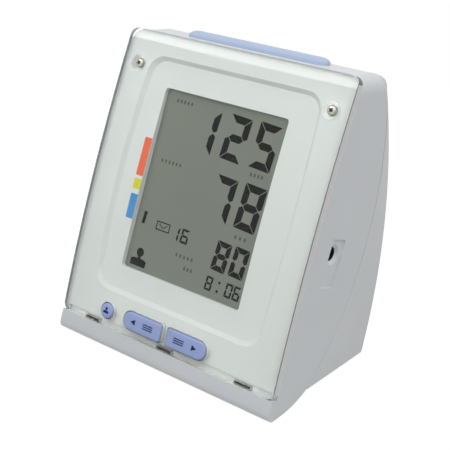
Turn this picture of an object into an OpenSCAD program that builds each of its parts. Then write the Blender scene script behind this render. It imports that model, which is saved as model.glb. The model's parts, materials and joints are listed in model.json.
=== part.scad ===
// Desktop upper-arm blood pressure monitor: a wedge-shaped housing with a leaning, slightly
// swelling face under a clear cover. Origin: middle of the footprint, on the table. +Z up, the
// face looks towards -Y, the power socket is on +X and the cuff's air socket on -X.

/* [Housing] */
// Width of the housing and of the clear cover
body_w = 120; // [118:1:128]
// Depth of the top, from the cover to the back
top_depth = 18.88; // [18:0.04:24]
// Height of the clear cover, measured along its slope
face_h = 134; // [133:1:140]
// Lean of the face from upright, in degrees
tilt = 20; // [19:0.5:21]
// Height of the cover's lower edge above the table
lip_z = 10.4; // [10:0.1:11]
// How far the face swells forward half-way up
bulge = 2.5; // [2:0.1:3]
// Wall of the moulded housing
wall = 2.4; // [2.2:0.1:2.6]
// Clearance of the underside of the lip above the table
lip_low = 0.5; // [0.3:0.1:0.7]
// Radius of the lip's lower edge
lip_r = 3.5; // [3.2:0.1:4]
// Radius of the back, seen from the side
back_r = 212; // [205:1:230]
// Height of the fullest part of the back
back_mid_z = 59; // [56:1:62]
// Radius of the upright edges of the back
edge_r = 4; // [3.6:0.1:5]
// Radius of the top corners, seen from the front
corner_r = 7; // [5:0.5:8]
// Radius between the top and the back
top_r = 8; // [6:0.5:9]
// Fall of the top towards the back, in degrees
top_fall = 6; // [5:0.5:7]
// Clearance under the rear edge of the base
rear_low = 2; // [1.8:0.1:2.4]
// Rise of the base towards the front, in degrees
base_rise = 3; // [2.5:0.1:3.2]

/* [Parting line] */
// Radius of the parting line on the flanks
part_r = 123; // [118:1:130]
// Distance of its rearmost point in front of the fullest part of the back
part_back = 10.9; // [10:0.1:12]
// Height of that point
part_z = 100; // [98:0.5:102]
// Height of the front housing's underside at the parting line
kink_z = 5.2; // [5:0.1:5.6]
// Inward lean of the flanks behind the parting line, in degrees
flank_lean = 2.2; // [1.5:0.1:3]
// Gap between the front and rear housings
seam = 0.3; // [0.2:0.05:0.4]

/* [Clear cover] */
// Thickness of the clear cover
cover_t = 3.2; // [2.8:0.1:3.4]
// Corner radius of the clear cover
cover_r = 4; // [2:0.5:5]
// Distance of the cover screws from the middle
screw_x = 51; // [50:0.2:51.6]
// Distance of the cover screws below the cover's upper edge
screw_drop = 15.2; // [14.4:0.2:16]
// Radius of a cover screw's head
head_r = 2.1; // [1.9:0.1:2.5]
// Distance of the outer hooks from the middle
hook_x = 43; // [40:0.5:44]
// Width of a hook
hook_w = 8.4; // [7:0.2:9]
// Height of the gutter along the cover's lower edge
gutter_h = 3; // [2.4:0.1:3.2]

/* [Display] */
// Margin of the sunk panel's floor from the cover's sides
panel_side = 17; // [16:0.5:18]
// Margin of the panel's floor from the cover's lower edge
panel_low = 19.5; // [19:0.5:20.5]
// Margin of the panel's floor from the cover's upper edge
panel_high = 12.5; // [12:0.5:13.5]
// Margin of the display window from the sides of the panel's floor
win_side = 10; // [9.5:0.5:12]
// Margin of the window from the lower edge of the panel's floor
win_low = 9.6; // [9:0.1:11]
// Margin of the window from the upper edge of the panel's floor
win_high = 10.4; // [10:0.1:12]
// Sideways offset of the window
win_x = -1.2; // [-1.6:0.1:0]
// Depth of the sunk panel
panel_d = 1.8; // [1.4:0.1:2]
// Width of the sloping border of the panel
panel_slope = 4.6; // [3:0.2:5]
// Thickness of the display glass
glass_t = 2.8; // [2.2:0.1:3]

/* [Keys] */
// Height of the keys' middle along the face
key_v = 7.6; // [7.4:0.1:8]
// Height of a memory key
key_h = 8.2; // [7:0.1:8.4]
// Length of a memory key
key_l = 21.8; // [18:0.2:22]
// Gap between the two memory keys
key_gap = 3.2; // [3:0.1:4]
// Distance of the round user key from the middle
user_x = 33.7; // [33:0.1:35]
// Radius of the round user key
user_r = 3.5; // [3:0.1:3.8]
// How far a key stands out of the cover
key_proud = 0.9; // [0.5:0.1:1.4]
// Clearance round a key
key_clear = 0.35; // [0.25:0.05:0.4]
// Travel of a front key
key_travel = 0.5; // [0.3:0.1:0.6]

/* [Start bar] */
// Length of the start bar
bar_l = 73; // [66:1:74]
// Width of the start bar
bar_w = 8.5; // [8:0.1:8.8]
// Height of the start bar above the top
bar_h = 2.8; // [2.2:0.1:3.4]
// Gap between the bar and the cover
bar_gap = 5.95; // [5.6:0.05:6.4]
// Travel of the start bar
bar_travel = 1; // [0.6:0.1:1.1]

/* [Sockets] */
// Height of both side sockets along the face
port_v = 62.3; // [60:0.5:64]
// Radius of the power socket's bore
jack_r = 2.85; // [2.7:0.05:3]
// Length of the power socket's body
jack_l = 14; // [12:0.5:15]
// Radius of the air socket's bore
air_r = 3; // [2.5:0.1:3.2]
// Depth of the air socket's bore
air_depth = 11; // [9:0.5:12]

/* [Battery bay] */
// Height of the middle of the battery door
bay_z = 43; // [42:0.5:45]
// Width of the battery door
door_w = 68; // [66:1:70]
// Height of the battery door
door_h = 68; // [67:0.5:69]
// Thickness of the battery door
door_t = 2.2; // [2:0.1:2.4]
// Radius of a cell
cell_r = 7.25; // [7:0.05:7.3]
// Length of a cell with its button
cell_l = 50.5; // [49:0.5:50.5]

/* [Pump and valve] */
// Radius of the pump's motor
motor_r = 12.2; // [11:0.2:12.4]
// Length of the pump's motor
motor_l = 31; // [28:1:32]
// Side of the pump's square head
pump_w = 27; // [26:0.5:27.5]
// Length of the pump's head
pump_l = 26; // [24:1:27]
// Radius of the valve's coil
coil_r = 7.4; // [6.5:0.1:8]
// Height of the valve's yoke
yoke_h = 19; // [18:0.5:21]
// Outer radius of the air hoses
hose_r = 2.2; // [1.9:0.1:2.4]

/* [Feet] */
// Radius of a rubber foot
foot_r = 5; // [4:0.5:5.5]
// Distance of the feet from the middle
foot_x = 46; // [42:1:48]

/* [Hidden] */
$fn = 48;
FINE = 720;

half_w = body_w / 2;
screw_v = face_h - screw_drop;
panel_w = body_w - 2 * panel_side;
panel_h = face_h - panel_low - panel_high;
panel_v = panel_low + panel_h / 2;
win_w = panel_w - 2 * win_side;
win_h = panel_h - win_low - win_high;
win_v = panel_low + win_low + win_h / 2;
// Centre of the lip's rounded edge, found from the face plane and the underside
lip_cz = lip_low + lip_r;
lip_cv = (lip_cz - lip_z + lip_r * sin(tilt)) / cos(tilt);
// Depth of the body: from the lip back to the top's front edge, over the top, and out to
// the fullest part of the back
front_run = lip_r - (lip_cv - face_h) * sin(tilt) - (lip_r - cover_t) * cos(tilt);
top_z = lip_z + face_h * cos(tilt) - cover_t * sin(tilt);
body_d = front_run + top_depth + back_r - sqrt(back_r * back_r - pow(top_z - back_mid_z, 2));
back_y = body_d / 2;
// Depth of the cover's lower front edge, such that the lip is the foremost point
face_y = -body_d / 2 + lip_r - lip_cv * sin(tilt) - lip_r * cos(tilt);
lip_cy = face_y + lip_cv * sin(tilt) + lip_r * cos(tilt);

// A point of the side view from its height up the face and its distance out of the face
function fp(v, n) = [face_y + v * sin(tilt) - n * cos(tilt), lip_z + v * cos(tilt) + n * sin(tilt)];
// Forward swell of the face at a height up the face
function swell(v) = bulge * (1 - pow((v - face_h / 2) / (face_h / 2), 2));
function seat_n(v) = swell(v) - cover_t;
function arc(c, r, a0, a1, steps) =
    [for (k = [0:steps]) let (a = a0 + (a1 - a0) * k / steps) c + r * [cos(a), sin(a)]];

// Top of the housing: starts behind the cover's upper edge and falls towards the back
top_p = fp(face_h, -cover_t);
top_dir = [cos(top_fall), -sin(top_fall)];
top_up = [sin(top_fall), cos(top_fall)];
back_c = [back_y - back_r, back_mid_z];
// Centre of the rounding that touches both the top and the back
round_w = top_p - top_r * top_up - back_c;
round_t = -round_w * top_dir + sqrt(pow(round_w * top_dir, 2) - round_w * round_w
    + pow(back_r - top_r, 2));
round_c = back_c + round_w + round_t * top_dir;
round_end = atan2(round_c[1] - back_c[1], round_c[0] - back_c[0]);

part_c = [back_y - part_back - part_r, part_z];
kink_y = part_c[0] + sqrt(part_r * part_r - pow(part_z - kink_z, 2));
rear_y = back_y - 8;
flat_y = lip_cy + 5;
// Height of the base behind the parting line
function base_z(y) = rear_low + (rear_y - y) * tan(base_rise);
// Height of the arched underside in front of the parting line
function under_z(y) = lip_low + (kink_z - lip_low) * pow(max(0, y - flat_y) / (kink_y - flat_y), 2);
function top_v(i) = face_h - i * (1 - sin(tilt - top_fall)) / cos(tilt - top_fall);

// Side view of the housing, drawn in by i on every side but the back
function side_view(i) = let (steps = 16, out_y = back_y + 10) concat(
    arc([lip_cy, lip_cz], lip_r - i, 270, 180 - tilt, 6),
    [fp(-i, -i), fp(-i, -cover_t - i)],
    [for (k = [0:steps]) let (v = top_v(i) * k / steps) fp(v, seat_n(v) - i)],
    arc(round_c, top_r - i, 90 - top_fall, round_end, 8),
    [[out_y, round_c[1] + (top_r - i) * sin(round_end)], [out_y, base_z(out_y) + i],
     [kink_y, base_z(kink_y) + i]],
    [for (k = [0:5]) let (y = kink_y + (flat_y - kink_y) * k / 5) [y, under_z(y) + i]]);

// ---- Frames and outlines ----

// Frame of the face: X across, Y up the slope, Z out of the face
module on_face() { translate([0, face_y, lip_z]) rotate([90 - tilt, 0, 0]) children(); }
// Frame of the top: X across, Y towards the back, Z up
module on_top() { translate([0, top_p[0], top_p[1]]) rotate([-top_fall, 0, 0]) children(); }
// Extrudes a drawing of (depth, height) across the housing
module across(w) { rotate([90, 0, 90]) linear_extrude(w, center = true) children(); }
module layer(z0, z1) { translate([0, 0, z0]) linear_extrude(z1 - z0) children(); }

module rounded(w, h, r) {
    square([w - 2 * r, h], center = true);
    square([w, h - 2 * r], center = true);
    for (x = [-1, 1], y = [-1, 1]) translate([x * (w / 2 - r), y * (h / 2 - r)]) circle(r);
}

module stadium(l, h) {
    square([l - h, h], center = true);
    for (x = [-1, 1]) translate([x * (l - h) / 2, 0]) circle(h / 2);
}

// A sheet that follows the face's swell between two offsets
module face_sheet(front, back, v0, v1, w) {
    steps = 16;
    across(w) polygon(concat(
        [for (k = [0:steps]) let (v = v0 + (v1 - v0) * k / steps) [v, swell(v) + front]],
        [for (k = [steps:-1:0]) let (v = v0 + (v1 - v0) * k / steps) [v, swell(v) + back]]));
}

// An open tube or wire swept along points with rings that turn smoothly
function unit(a) = a / norm(a);
function ring_dir(p, k) = unit(k == 0 ? p[1] - p[0]
    : k == len(p) - 1 ? p[k] - p[k - 1] : p[k + 1] - p[k - 1]);
function next_side(s, d) = unit(s - (s * d) * d);
function sides(p, first, k = 0, s = undef, acc = []) = k == len(p) ? acc
    : let (d = ring_dir(p, k), now = next_side(k == 0 ? first : s, d))
      sides(p, first, k + 1, now, concat(acc, [now]));
module sweep(p, r, n, first) {
    s = sides(p, first);
    points = [for (k = [0:len(p) - 1]) let (d = ring_dir(p, k), b = cross(d, s[k]))
        for (j = [0:n - 1]) p[k] + r * (cos(360 * j / n) * s[k] + sin(360 * j / n) * b)];
    last = (len(p) - 1) * n;
    faces = concat([[for (j = [0:n - 1]) j]], [[for (j = [n - 1:-1:0]) last + j]],
        [for (k = [0:len(p) - 2], j = [0:n - 1]) let (a = k * n + j, b = k * n + (j + 1) % n)
            each [[a, a + n, b + n], [a, b + n, b]]]);
    polyhedron(points, faces);
}
// Points of a smooth hose between two ends that leave in given directions
function hose_points(a, da, b, db, reach, rings) = [for (k = [0:rings])
    let (t = k / rings, u = 1 - t)
    u * u * u * a + 3 * u * u * t * (a + reach * da) + 3 * u * t * t * (b + reach * db)
    + t * t * t * b];

// ---- Housing ----

module back_drum(i) {
    h = half_w - i;
    r = back_r - i;
    e = max(edge_r - i, 0.8);
    translate([0, back_c[0], back_c[1]]) rotate([0, 90, 0]) rotate_extrude($fn = FINE) {
        translate([0, -h]) square([r - e, 2 * h]);
        translate([0, e - h]) square([r, 2 * (h - e)]);
        for (x = [-1, 1]) translate([r - e, x * (h - e)]) circle(e, $fn = 32);
    }
}

module flanks(i) {
    h = half_w - i;
    reach = 80;
    translate([0, part_c[0], part_c[1]]) rotate([0, 90, 0]) rotate_extrude($fn = FINE)
        polygon([[0, -h], [part_r, -h], [part_r + reach, reach * tan(flank_lean) - h],
            [part_r + reach, h - reach * tan(flank_lean)], [part_r, h], [0, h]]);
}

module top_corners(i) {
    tall = 320;
    on_top() rotate([90, 0, 0]) linear_extrude(2 * body_d + 60, center = true)
        translate([0, -tall / 2 - i]) rounded(body_w - 2 * i, tall, corner_r - i / 2);
}

// The housing's form, drawn in by i
module form(i) {
    intersection() {
        across(body_w + 10) polygon(side_view(i));
        back_drum(i);
        flanks(i);
        top_corners(i);
    }
}

module parting(r) {
    translate([0, part_c[0], part_c[1]]) rotate([0, 90, 0])
        cylinder(r = r, h = body_w + 20, center = true, $fn = FINE);
}

border_w = panel_w + 2 * panel_slope;
border_h = panel_h + 2 * panel_slope;
border_r = 9;
floor_r = 6;
// Plane of the display glass, just behind the panel's floor at its upper and lower edges
glass_n = seat_n(panel_v - panel_h / 2) - panel_d - 1.6;
board_n = glass_n - glass_t - 3.2;
board_t = 1.6;
board_w = body_w - 2 * wall - 7;
board_v0 = 3.6;
board_v1 = screw_v - 5.8;
boss_x = hook_x + 3.5;
boss_low_v = key_v + 1;
boss_high_v = screw_v - 12.8;
screw_boss_r = 3.6;
screw_hole_n = -11;
pilot_r = 1.25;
screw_r = 1.2;
// Housing screws: head radius, head height, length under the head, and radius of their bosses
pan_r = 2.7;
pan_h = 1.6;
pan_l = 12;
boss_r = 3.5;
// Holes in the rear housing for their shanks and heads
shank_hole_r = 1.6;
head_hole_r = 3;
// Board screws: head radius and head height, and the holes and pillars that they go through
small_head_r = 2.4;
small_head_h = 1.4;
board_hole_r = 1.4;
pillar_r = 3;

bar_y = bar_gap + bar_w / 2;
start_post_x = bar_l / 2 + 5;
start_board_w = bar_w + 4.5;
start_board_z = -(wall + 7.4);
upper_screw = [50, top_p[1] - 13];
lower_screw_y = kink_y + 7.6;
lower_boss_top = 24;
// Webs that tie the bosses to the flanks: thickness, and lower end of the lower pair
web_t = 1.6;
web_low = 15;
web_w = half_w - wall / 2 - upper_screw[0];
web_x = upper_screw[0] + web_w / 2;
// Depth of the parting line at the height of the upper screws
part_at_screw = part_c[0] + sqrt(pow(part_r, 2) - pow(upper_screw[1] - part_z, 2));
upper_head_y = part_at_screw + 1.4;

// Distance of the power socket's axis behind the board
jack_off = 4.4;
// Sunk field round the power socket: depth, height up the face, width, and reach below the socket
field_d = 0.6;
field_h = 20.8;
field_w = 10.4;
field_low = 14.2;
// Depth of the funnel at the socket's mouth, and the socket's front just inside it
funnel_d = 1.4;
jack_front = half_w - field_d - funnel_d + 0.15;
port_p = fp(port_v, board_n - board_t - jack_off - 0.05);
air_p = fp(port_v, board_n - board_t - 9);

module panel_cut() {
    deep = 12;
    intersection() {
        hull() {
            translate([0, panel_v, -cover_t - panel_d - 1])
                layer(0, 0.01) rounded(panel_w - 2, panel_h - 2, floor_r, $fn = 32);
            translate([0, panel_v, bulge - cover_t])
                layer(0, 0.01) rounded(border_w, border_h, border_r, $fn = 32);
        }
        face_sheet(deep, -cover_t - panel_d, 0, face_h, body_w);
    }
}

module key_outline(grow) {
    l = key_l + 2 * grow;
    h = key_h + 2 * grow;
    inner_r = 0.8 + grow / 2;
    translate([-grow, 0]) {
        translate([inner_r, -h / 2]) square([l - h / 2 - inner_r, h]);
        translate([0, inner_r - h / 2]) square([l / 2, h - 2 * inner_r]);
        for (y = [-1, 1]) translate([inner_r, y * (h / 2 - inner_r)]) circle(inner_r, $fn = 32);
        translate([l - h / 2, 0]) circle(h / 2);
    }
}

// The three front keys' outlines, grown by a clearance
module key_holes(grow) {
    translate([0, key_v]) for (s = [0, 1]) mirror([s, 0]) translate([key_gap / 2, 0]) key_outline(grow);
    translate([-user_x, key_v]) circle(user_r + grow);
}

hook_t = 1.2;
hook_lift = 0.3;
module hooks_plan(grow) {
    for (x = [-1, 0, 1]) translate([x * hook_x - hook_w / 2 - grow, hook_lift - grow])
        square([hook_w + 2 * grow, hook_t + 2 * grow]);
}

module front_bosses() {
    on_face() {
        for (x = [-1, 1]) {
            translate([x * screw_x, screw_v, screw_hole_n - 1.4])
                cylinder(r = screw_boss_r, h = -screw_hole_n - 3);
            for (v = [boss_low_v, boss_high_v]) translate([x * boss_x, v, board_n])
                cylinder(r = pillar_r, h = glass_n + 1.4 - board_n);
        }
    }
    on_top() for (x = [-1, 1]) translate([x * start_post_x, bar_y, start_board_z])
        cylinder(r = pillar_r, h = -start_board_z - wall / 2);
    for (x = [-1, 1]) {
        y0 = fp(screw_v, -cover_t - wall * 0.6)[0];
        y1 = part_at_screw - 1;
        translate([x * upper_screw[0], y0, upper_screw[1]])
            rotate([-90, 0, 0]) cylinder(r = boss_r, h = y1 - y0);
        translate([x * web_x, (y0 + y1) / 2, upper_screw[1]]) cube([web_w, y1 - y0, web_t], center = true);
        z0 = base_z(lower_screw_y) + wall + seam;
        translate([x * upper_screw[0], lower_screw_y, z0]) cylinder(r = boss_r, h = lower_boss_top - z0);
        translate([x * web_x, lower_screw_y - 1, (lower_boss_top + web_low) / 2])
            cube([web_w, web_t, lower_boss_top - web_low], center = true);
    }
}

module front_cuts() {
    on_face() {
        panel_cut();
        translate([win_x, win_v]) layer(-20, 10) rounded(win_w, win_h, 1.5);
        layer(-12, 10) key_holes(key_clear);
        layer(-12, 10) hooks_plan(hook_lift);
        // Gutter under the cover's lower edge
        translate([0, 0, -cover_t - 1.2]) translate([-half_w + 2, 0, 0]) cube([body_w - 4, gutter_h, 4]);
        for (x = [-1, 1]) {
            translate([x * screw_x, screw_v, screw_hole_n]) cylinder(r = 1.5, h = 20);
            for (v = [boss_low_v, boss_high_v]) translate([x * boss_x, v, board_n - 1])
                cylinder(r = pilot_r, h = 5.6);
        }
        // Sunk field round the power socket
        translate([half_w - field_d, port_v - field_low, board_n - board_t - 11])
            cube([2, field_h, field_w]);
    }
    on_top() {
        translate([0, bar_y]) layer(-wall - 3, 5) stadium(bar_l + 2 * key_clear, bar_w + 2 * key_clear);
        for (x = [-1, 1]) translate([x * start_post_x, bar_y, start_board_z - 1])
            cylinder(r = pilot_r, h = 5);
    }
    translate([jack_front, port_p[0], port_p[1]]) rotate([0, 90, 0]) {
        translate([0, 0, -wall]) cylinder(r = jack_off, h = wall + 0.05);
        cylinder(r1 = jack_r + 0.1, r2 = jack_r + 1.7, h = funnel_d);
    }
    translate([-half_w - 1, air_p[0], air_p[1]]) rotate([0, 90, 0])
        cylinder(r = air_body_r + 0.05, h = wall + 3);
    for (x = [-1, 1]) {
        translate([x * upper_screw[0], part_c[0] + part_r, upper_screw[1]])
            rotate([90, 0, 0]) cylinder(r = pilot_r, h = 17);
        translate([x * upper_screw[0], lower_screw_y, 0]) cylinder(r = pilot_r, h = lower_boss_top - 4);
        translate([x * foot_x, front_foot_y, -1]) cylinder(r = foot_r + 0.2, h = front_foot_top + 1.1);
    }
}

front_foot_y = flat_y + 5.6;
front_foot_top = 2.1;
rear_foot_y = rear_y - 5.6;
rear_foot_top = base_z(rear_foot_y) + 0.8;

module front_shell() {
    color("whitesmoke") difference() {
        union() {
            intersection() {
                union() {
                    difference() {
                        form(0);
                        form(wall);
                    }
                    // Flat-backed pan that carries the sunk panel
                    on_face() intersection() {
                        translate([0, panel_v]) layer(glass_n, bulge)
                            rounded(border_w + 3, border_h + 2, border_r);
                        face_sheet(-cover_t - 0.4, -30, 0, face_h, body_w);
                    }
                }
                parting(part_r - seam / 2);
            }
            front_bosses();
        }
        front_cuts();
    }
}

// Frame of the battery bay: Y out of the back, Z up the back
bay_lean = asin((back_mid_z - bay_z) / back_r);
bay_surface_y = back_y - back_r * (1 - cos(bay_lean));
function sag(z) = back_r - sqrt(back_r * back_r - z * z);
bay_w = cell_l + 6.5;
bay_h = 8 * cell_r + 2.6;
cell_y = -(door_t + sag(3 * cell_r) + 0.6 + cell_r);
bay_front = cell_y - cell_r - 0.4;
bay_wall = 1.6;
hinge_r = 1.5;
hinge_z = hinge_r - door_h / 2;
hinge_y = -sag(hinge_z) - hinge_r;
hinge_pin_r = 1;
door_gap = 0.3;

module on_bay() { translate([0, bay_surface_y, bay_z]) rotate([-bay_lean, 0, 0]) children(); }

// A curved plate parallel to the back, between two depths
module back_plate(outer, inner) {
    translate([0, back_c[0], back_c[1]]) rotate([0, 90, 0]) difference() {
        cylinder(r = back_r - outer, h = body_w, center = true, $fn = FINE);
        cylinder(r = back_r - inner, h = body_w + 2, center = true, $fn = FINE);
    }
}

// Pads on the floor that carry the pump and the valve
pad_top = base_z(kink_y) + wall + 1.4;
bay_pump_y = bay_surface_y + (bay_front - bay_wall) * cos(bay_lean) - 14 * sin(bay_lean);
pump_y = bay_pump_y - pump_w / 2 - 3;
cradle_t = 2;
pump_z = pad_top + cradle_t + pump_w / 2;
motor_x = -39;
head_x = motor_x + motor_l;
valve_x = 38;
valve_y = pump_y;

manifold_x = [8, 32];
manifold_r = 3;
manifold_y = bay_pump_y - 7;
manifold_z = pump_z + pump_w / 2 + 17;

module rear_solids() {
    // Ledge behind the battery door, and the walls of the bay
    intersection() {
        back_plate(wall - 0.6, door_t + door_gap + bay_wall);
        on_bay() cube([door_w + 8, 60, door_h + 6], center = true);
    }
    bay_depth = bay_wall - bay_front - door_t - 1.4;
    on_bay() translate([0, (bay_front - bay_wall - door_t - 1.4) / 2, 0])
        cube([bay_w + 2 * bay_wall, bay_depth, bay_h + 2 * bay_wall], center = true);
    for (x = [-1, 1]) {
        y0 = part_at_screw - 0.6;
        intersection() {
            form(0.5);
            translate([x * upper_screw[0], y0, upper_screw[1]]) rotate([-90, 0, 0])
                cylinder(r = boss_r + 0.9, h = 20);
        }
    }
    // Floor pads under the pump and the valve
    translate([motor_x + 2, pump_y - 9, base_z(pump_y) + wall / 2])
        cube([motor_l + pump_l - 4, 3, pad_top - base_z(pump_y) - wall / 2]);
    translate([motor_x + 2, pump_y + 6, base_z(pump_y) + wall / 2])
        cube([motor_l + pump_l - 4, 3, pad_top - base_z(pump_y) - wall / 2]);
    translate([valve_x - 9, valve_y - 8, base_z(valve_y) + wall / 2])
        cube([18, 16, pad_top - base_z(valve_y) - wall / 2]);
    // Clip that holds the air manifold on the bay's front wall
    for (x = [11, 20.8]) translate([x + 3, manifold_y - manifold_r - 1.5, manifold_z - manifold_r - 1.6])
        cube([2.4, bay_pump_y + 2.6 - (manifold_y - manifold_r - 1.5), 1.6 + manifold_r]);
}

// The door's opening, with square corners round its hinge roll
module door_opening() {
    rounded(door_w + 2 * door_gap, door_h + 2 * door_gap, 2.5);
    translate([0, hinge_z]) square([door_w + 2 * door_gap, 2 * (hinge_r + door_gap)], center = true);
}

module rear_cuts() {
    // Opening of the battery door, down to its ledge
    intersection() {
        back_plate(-10, door_t + door_gap);
        on_bay() rotate([90, 0, 0]) linear_extrude(60, center = true)
            door_opening();
    }
    on_bay() {
        // Inside of the bay
        translate([0, bay_front / 2 + 1, 0]) cube([bay_w, 2 - bay_front, bay_h], center = true);
        // Groove for the door's hinge roll, and the holes for its pins
        translate([0, hinge_y, hinge_z]) rotate([0, 90, 0]) {
            cylinder(r = hinge_r + door_gap, h = door_w + 2 * door_gap, center = true);
            cylinder(r = hinge_pin_r + 0.05, h = door_w + 6, center = true);
        }
    }
    translate([0, manifold_y, manifold_z]) rotate([0, 90, 0])
        cylinder(r = manifold_r + 0.1, h = body_w / 2 + 20, center = true);
    for (x = [-1, 1]) {
        translate([x * upper_screw[0], 0, upper_screw[1]]) rotate([-90, 0, 0]) {
            cylinder(r = shank_hole_r, h = 60);
            translate([0, 0, upper_head_y]) cylinder(r = head_hole_r, h = 20);
        }
        translate([x * upper_screw[0], lower_screw_y, -1]) {
            cylinder(r = shank_hole_r, h = 20);
            cylinder(r = head_hole_r, h = base_z(lower_screw_y) + 2);
        }
        translate([x * foot_x, rear_foot_y, -1]) cylinder(r = foot_r + 0.2, h = rear_foot_top + 1.1);
    }
}

module rear_shell() {
    color("gainsboro") difference() {
        union() {
            difference() {
                form(0);
                form(wall);
                parting(part_r + seam / 2);
            }
            rear_solids();
        }
        rear_cuts();
    }
}

module rubber_feet() {
    color("dimgray") for (x = [-1, 1]) {
        translate([x * foot_x, front_foot_y, 0]) cylinder(r = foot_r, h = front_foot_top);
        translate([x * foot_x, rear_foot_y, 0]) cylinder(r = foot_r, h = rear_foot_top);
    }
}

module machine_screw(shank, head, head_h, length) {
    cylinder(r = shank, h = length);
    difference() {
        translate([0, 0, length]) cylinder(r = head, h = head_h);
        for (a = [0, 90]) rotate(a) translate([0, 0, length + head_h - 0.6])
            cube([head * 1.2, head * 0.28, 1.4], center = true);
    }
}

module housing_screws() {
    color("silver") for (x = [-1, 1]) {
        translate([x * upper_screw[0], upper_head_y - pan_l, upper_screw[1]]) rotate([-90, 0, 0])
            machine_screw(screw_r, pan_r, pan_h, pan_l);
        translate([x * upper_screw[0], lower_screw_y, base_z(lower_screw_y) + 1 + pan_l])
            rotate([180, 0, 0]) machine_screw(screw_r, pan_r, pan_h, pan_l);
    }
}

// ---- Clear cover ----

// Cover screws: depth of their seats and of the conical pockets, shank radius, hole and length
seat_depth = 2;
pocket_h = 2.6;
cover_shank_r = 1.45;
cover_hole_r = 1.7;
cover_screw_l = 9;
cover_pocket_n = swell(screw_v) - seat_depth;

module clear_cover() {
    color("aliceblue", 0.35) on_face() difference() {
        union() {
            intersection() {
                face_sheet(0, -cover_t, 0, face_h, body_w);
                translate([0, face_h / 2]) layer(-20, 20) rounded(body_w, face_h, cover_r);
            }
            // Hooks that drop through the slots in the housing
            layer(-cover_t - wall - 1.6, -cover_t + 0.6) hooks_plan(0);
        }
        layer(-5, 10) key_holes(key_clear);
        for (x = [-1, 1]) translate([x * screw_x, screw_v, 0]) {
            translate([0, 0, cover_pocket_n]) cylinder(r1 = head_r + 0.4, r2 = head_r + 2, h = pocket_h);
            translate([0, 0, -10]) cylinder(r = cover_hole_r, h = 20);
        }
    }
}

module cover_screws() {
    color("silver") on_face() for (x = [-1, 1])
        translate([x * screw_x, screw_v, cover_pocket_n - cover_screw_l])
            machine_screw(cover_shank_r, head_r, pan_h, cover_screw_l);
}

// ---- Display ----

glass_w = win_w + 6;
glass_h = win_h + 8;
tray_wall = 1.4;

module at_window(n) { on_face() translate([win_x, win_v, n]) children(); }

module display_glass() {
    color("darkseagreen") at_window(glass_n - glass_t) {
        translate([-glass_w / 2, -glass_h / 2, 0]) cube([glass_w, glass_h, glass_t / 2]);
        translate([-glass_w / 2, 3 - glass_h / 2, glass_t / 2]) cube([glass_w, glass_h - 3, glass_t / 2]);
    }
}

module display_tray() {
    color("white") at_window(0) difference() {
        translate([-glass_w / 2 - tray_wall, -glass_h / 2 - tray_wall, board_n])
            cube([glass_w + 2 * tray_wall, glass_h + 2 * tray_wall, glass_n - 0.6 - board_n]);
        translate([-glass_w / 2 - 0.1, -glass_h / 2 - 0.1, glass_n - glass_t - 0.05])
            cube([glass_w + 0.2, glass_h + 0.2, 10]);
        // Slot for the connector and a window that lightens the tray
        translate([-strip_l / 2 - 0.2, 0.6 - glass_h / 2, board_n - 1])
            cube([strip_l + 0.4, strip_w + 0.4, 20]);
        translate([-glass_w / 2 + 6, -glass_h / 2 + 9, board_n - 1])
            cube([glass_w - 12, glass_h - 15, 2.4]);
    }
}

strip_l = 60;
strip_w = 2.4;
module display_connector() {
    color("dimgray") at_window(board_n)
        translate([-strip_l / 2, 0.8 - glass_h / 2, 0])
            cube([strip_l, strip_w, glass_n - glass_t - board_n - 0.05]);
}

// ---- Boards and what they carry ----

module main_board() {
    color("seagreen") on_face() difference() {
        translate([0, (board_v0 + board_v1) / 2]) layer(board_n - board_t, board_n)
            rounded(board_w, board_v1 - board_v0, 2);
        for (x = [-1, 1], v = [boss_low_v, boss_high_v]) translate([x * boss_x, v, board_n - 5])
            cylinder(r = board_hole_r, h = 10);
    }
}

module board_screws() {
    long = 6;
    short = 5;
    color("silver") {
        on_face() for (x = [-1, 1], v = [boss_low_v, boss_high_v])
            translate([x * boss_x, v, board_n - board_t + long]) rotate([180, 0, 0])
                machine_screw(screw_r, small_head_r, small_head_h, long);
        on_top() for (x = [-1, 1]) translate([x * start_post_x, bar_y, start_board_z - board_t + short])
            rotate([180, 0, 0]) machine_screw(screw_r, small_head_r, small_head_h, short);
    }
}

// A square push switch with its round plunger
module push_switch(top) {
    side = 6;
    body = 3.4;
    translate([-side / 2, -side / 2, 0]) cube([side, side, body]);
    cylinder(r = 1.7, h = top);
}

key_flange = 1;
// Back of the keys: their flanges clear the wall's inner side at their lower edge
key_back_n = seat_n(key_v - key_h / 2 - key_flange) - wall - 0.3 - key_flange;
switch_top = key_back_n - key_travel - 0.1 - board_n;

module front_switches() {
    color("dimgray") on_face() for (x = [-user_x, -(key_gap + key_l) / 2, (key_gap + key_l) / 2])
        translate([x, key_v, board_n]) push_switch(switch_top);
}

module start_board() {
    color("seagreen") on_top() difference() {
        translate([0, bar_y]) layer(start_board_z - board_t, start_board_z)
            rounded(2 * start_post_x + 7, start_board_w, 1.5);
        for (x = [-1, 1]) translate([x * start_post_x, bar_y, start_board_z - 5])
            cylinder(r = board_hole_r, h = 10);
    }
}

bar_flange = 1.2;
bar_back = -wall - 0.3 - bar_flange;
bar_foot = 0.4;
module start_switch() {
    color("dimgray") on_top() translate([0, bar_y, start_board_z])
        push_switch(bar_back - bar_foot - bar_travel - 0.1 - start_board_z);
}

module on_board_back(u, v) {
    on_face() translate([u, v, board_n - board_t]) rotate([180, 0, 0]) children();
}

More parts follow.
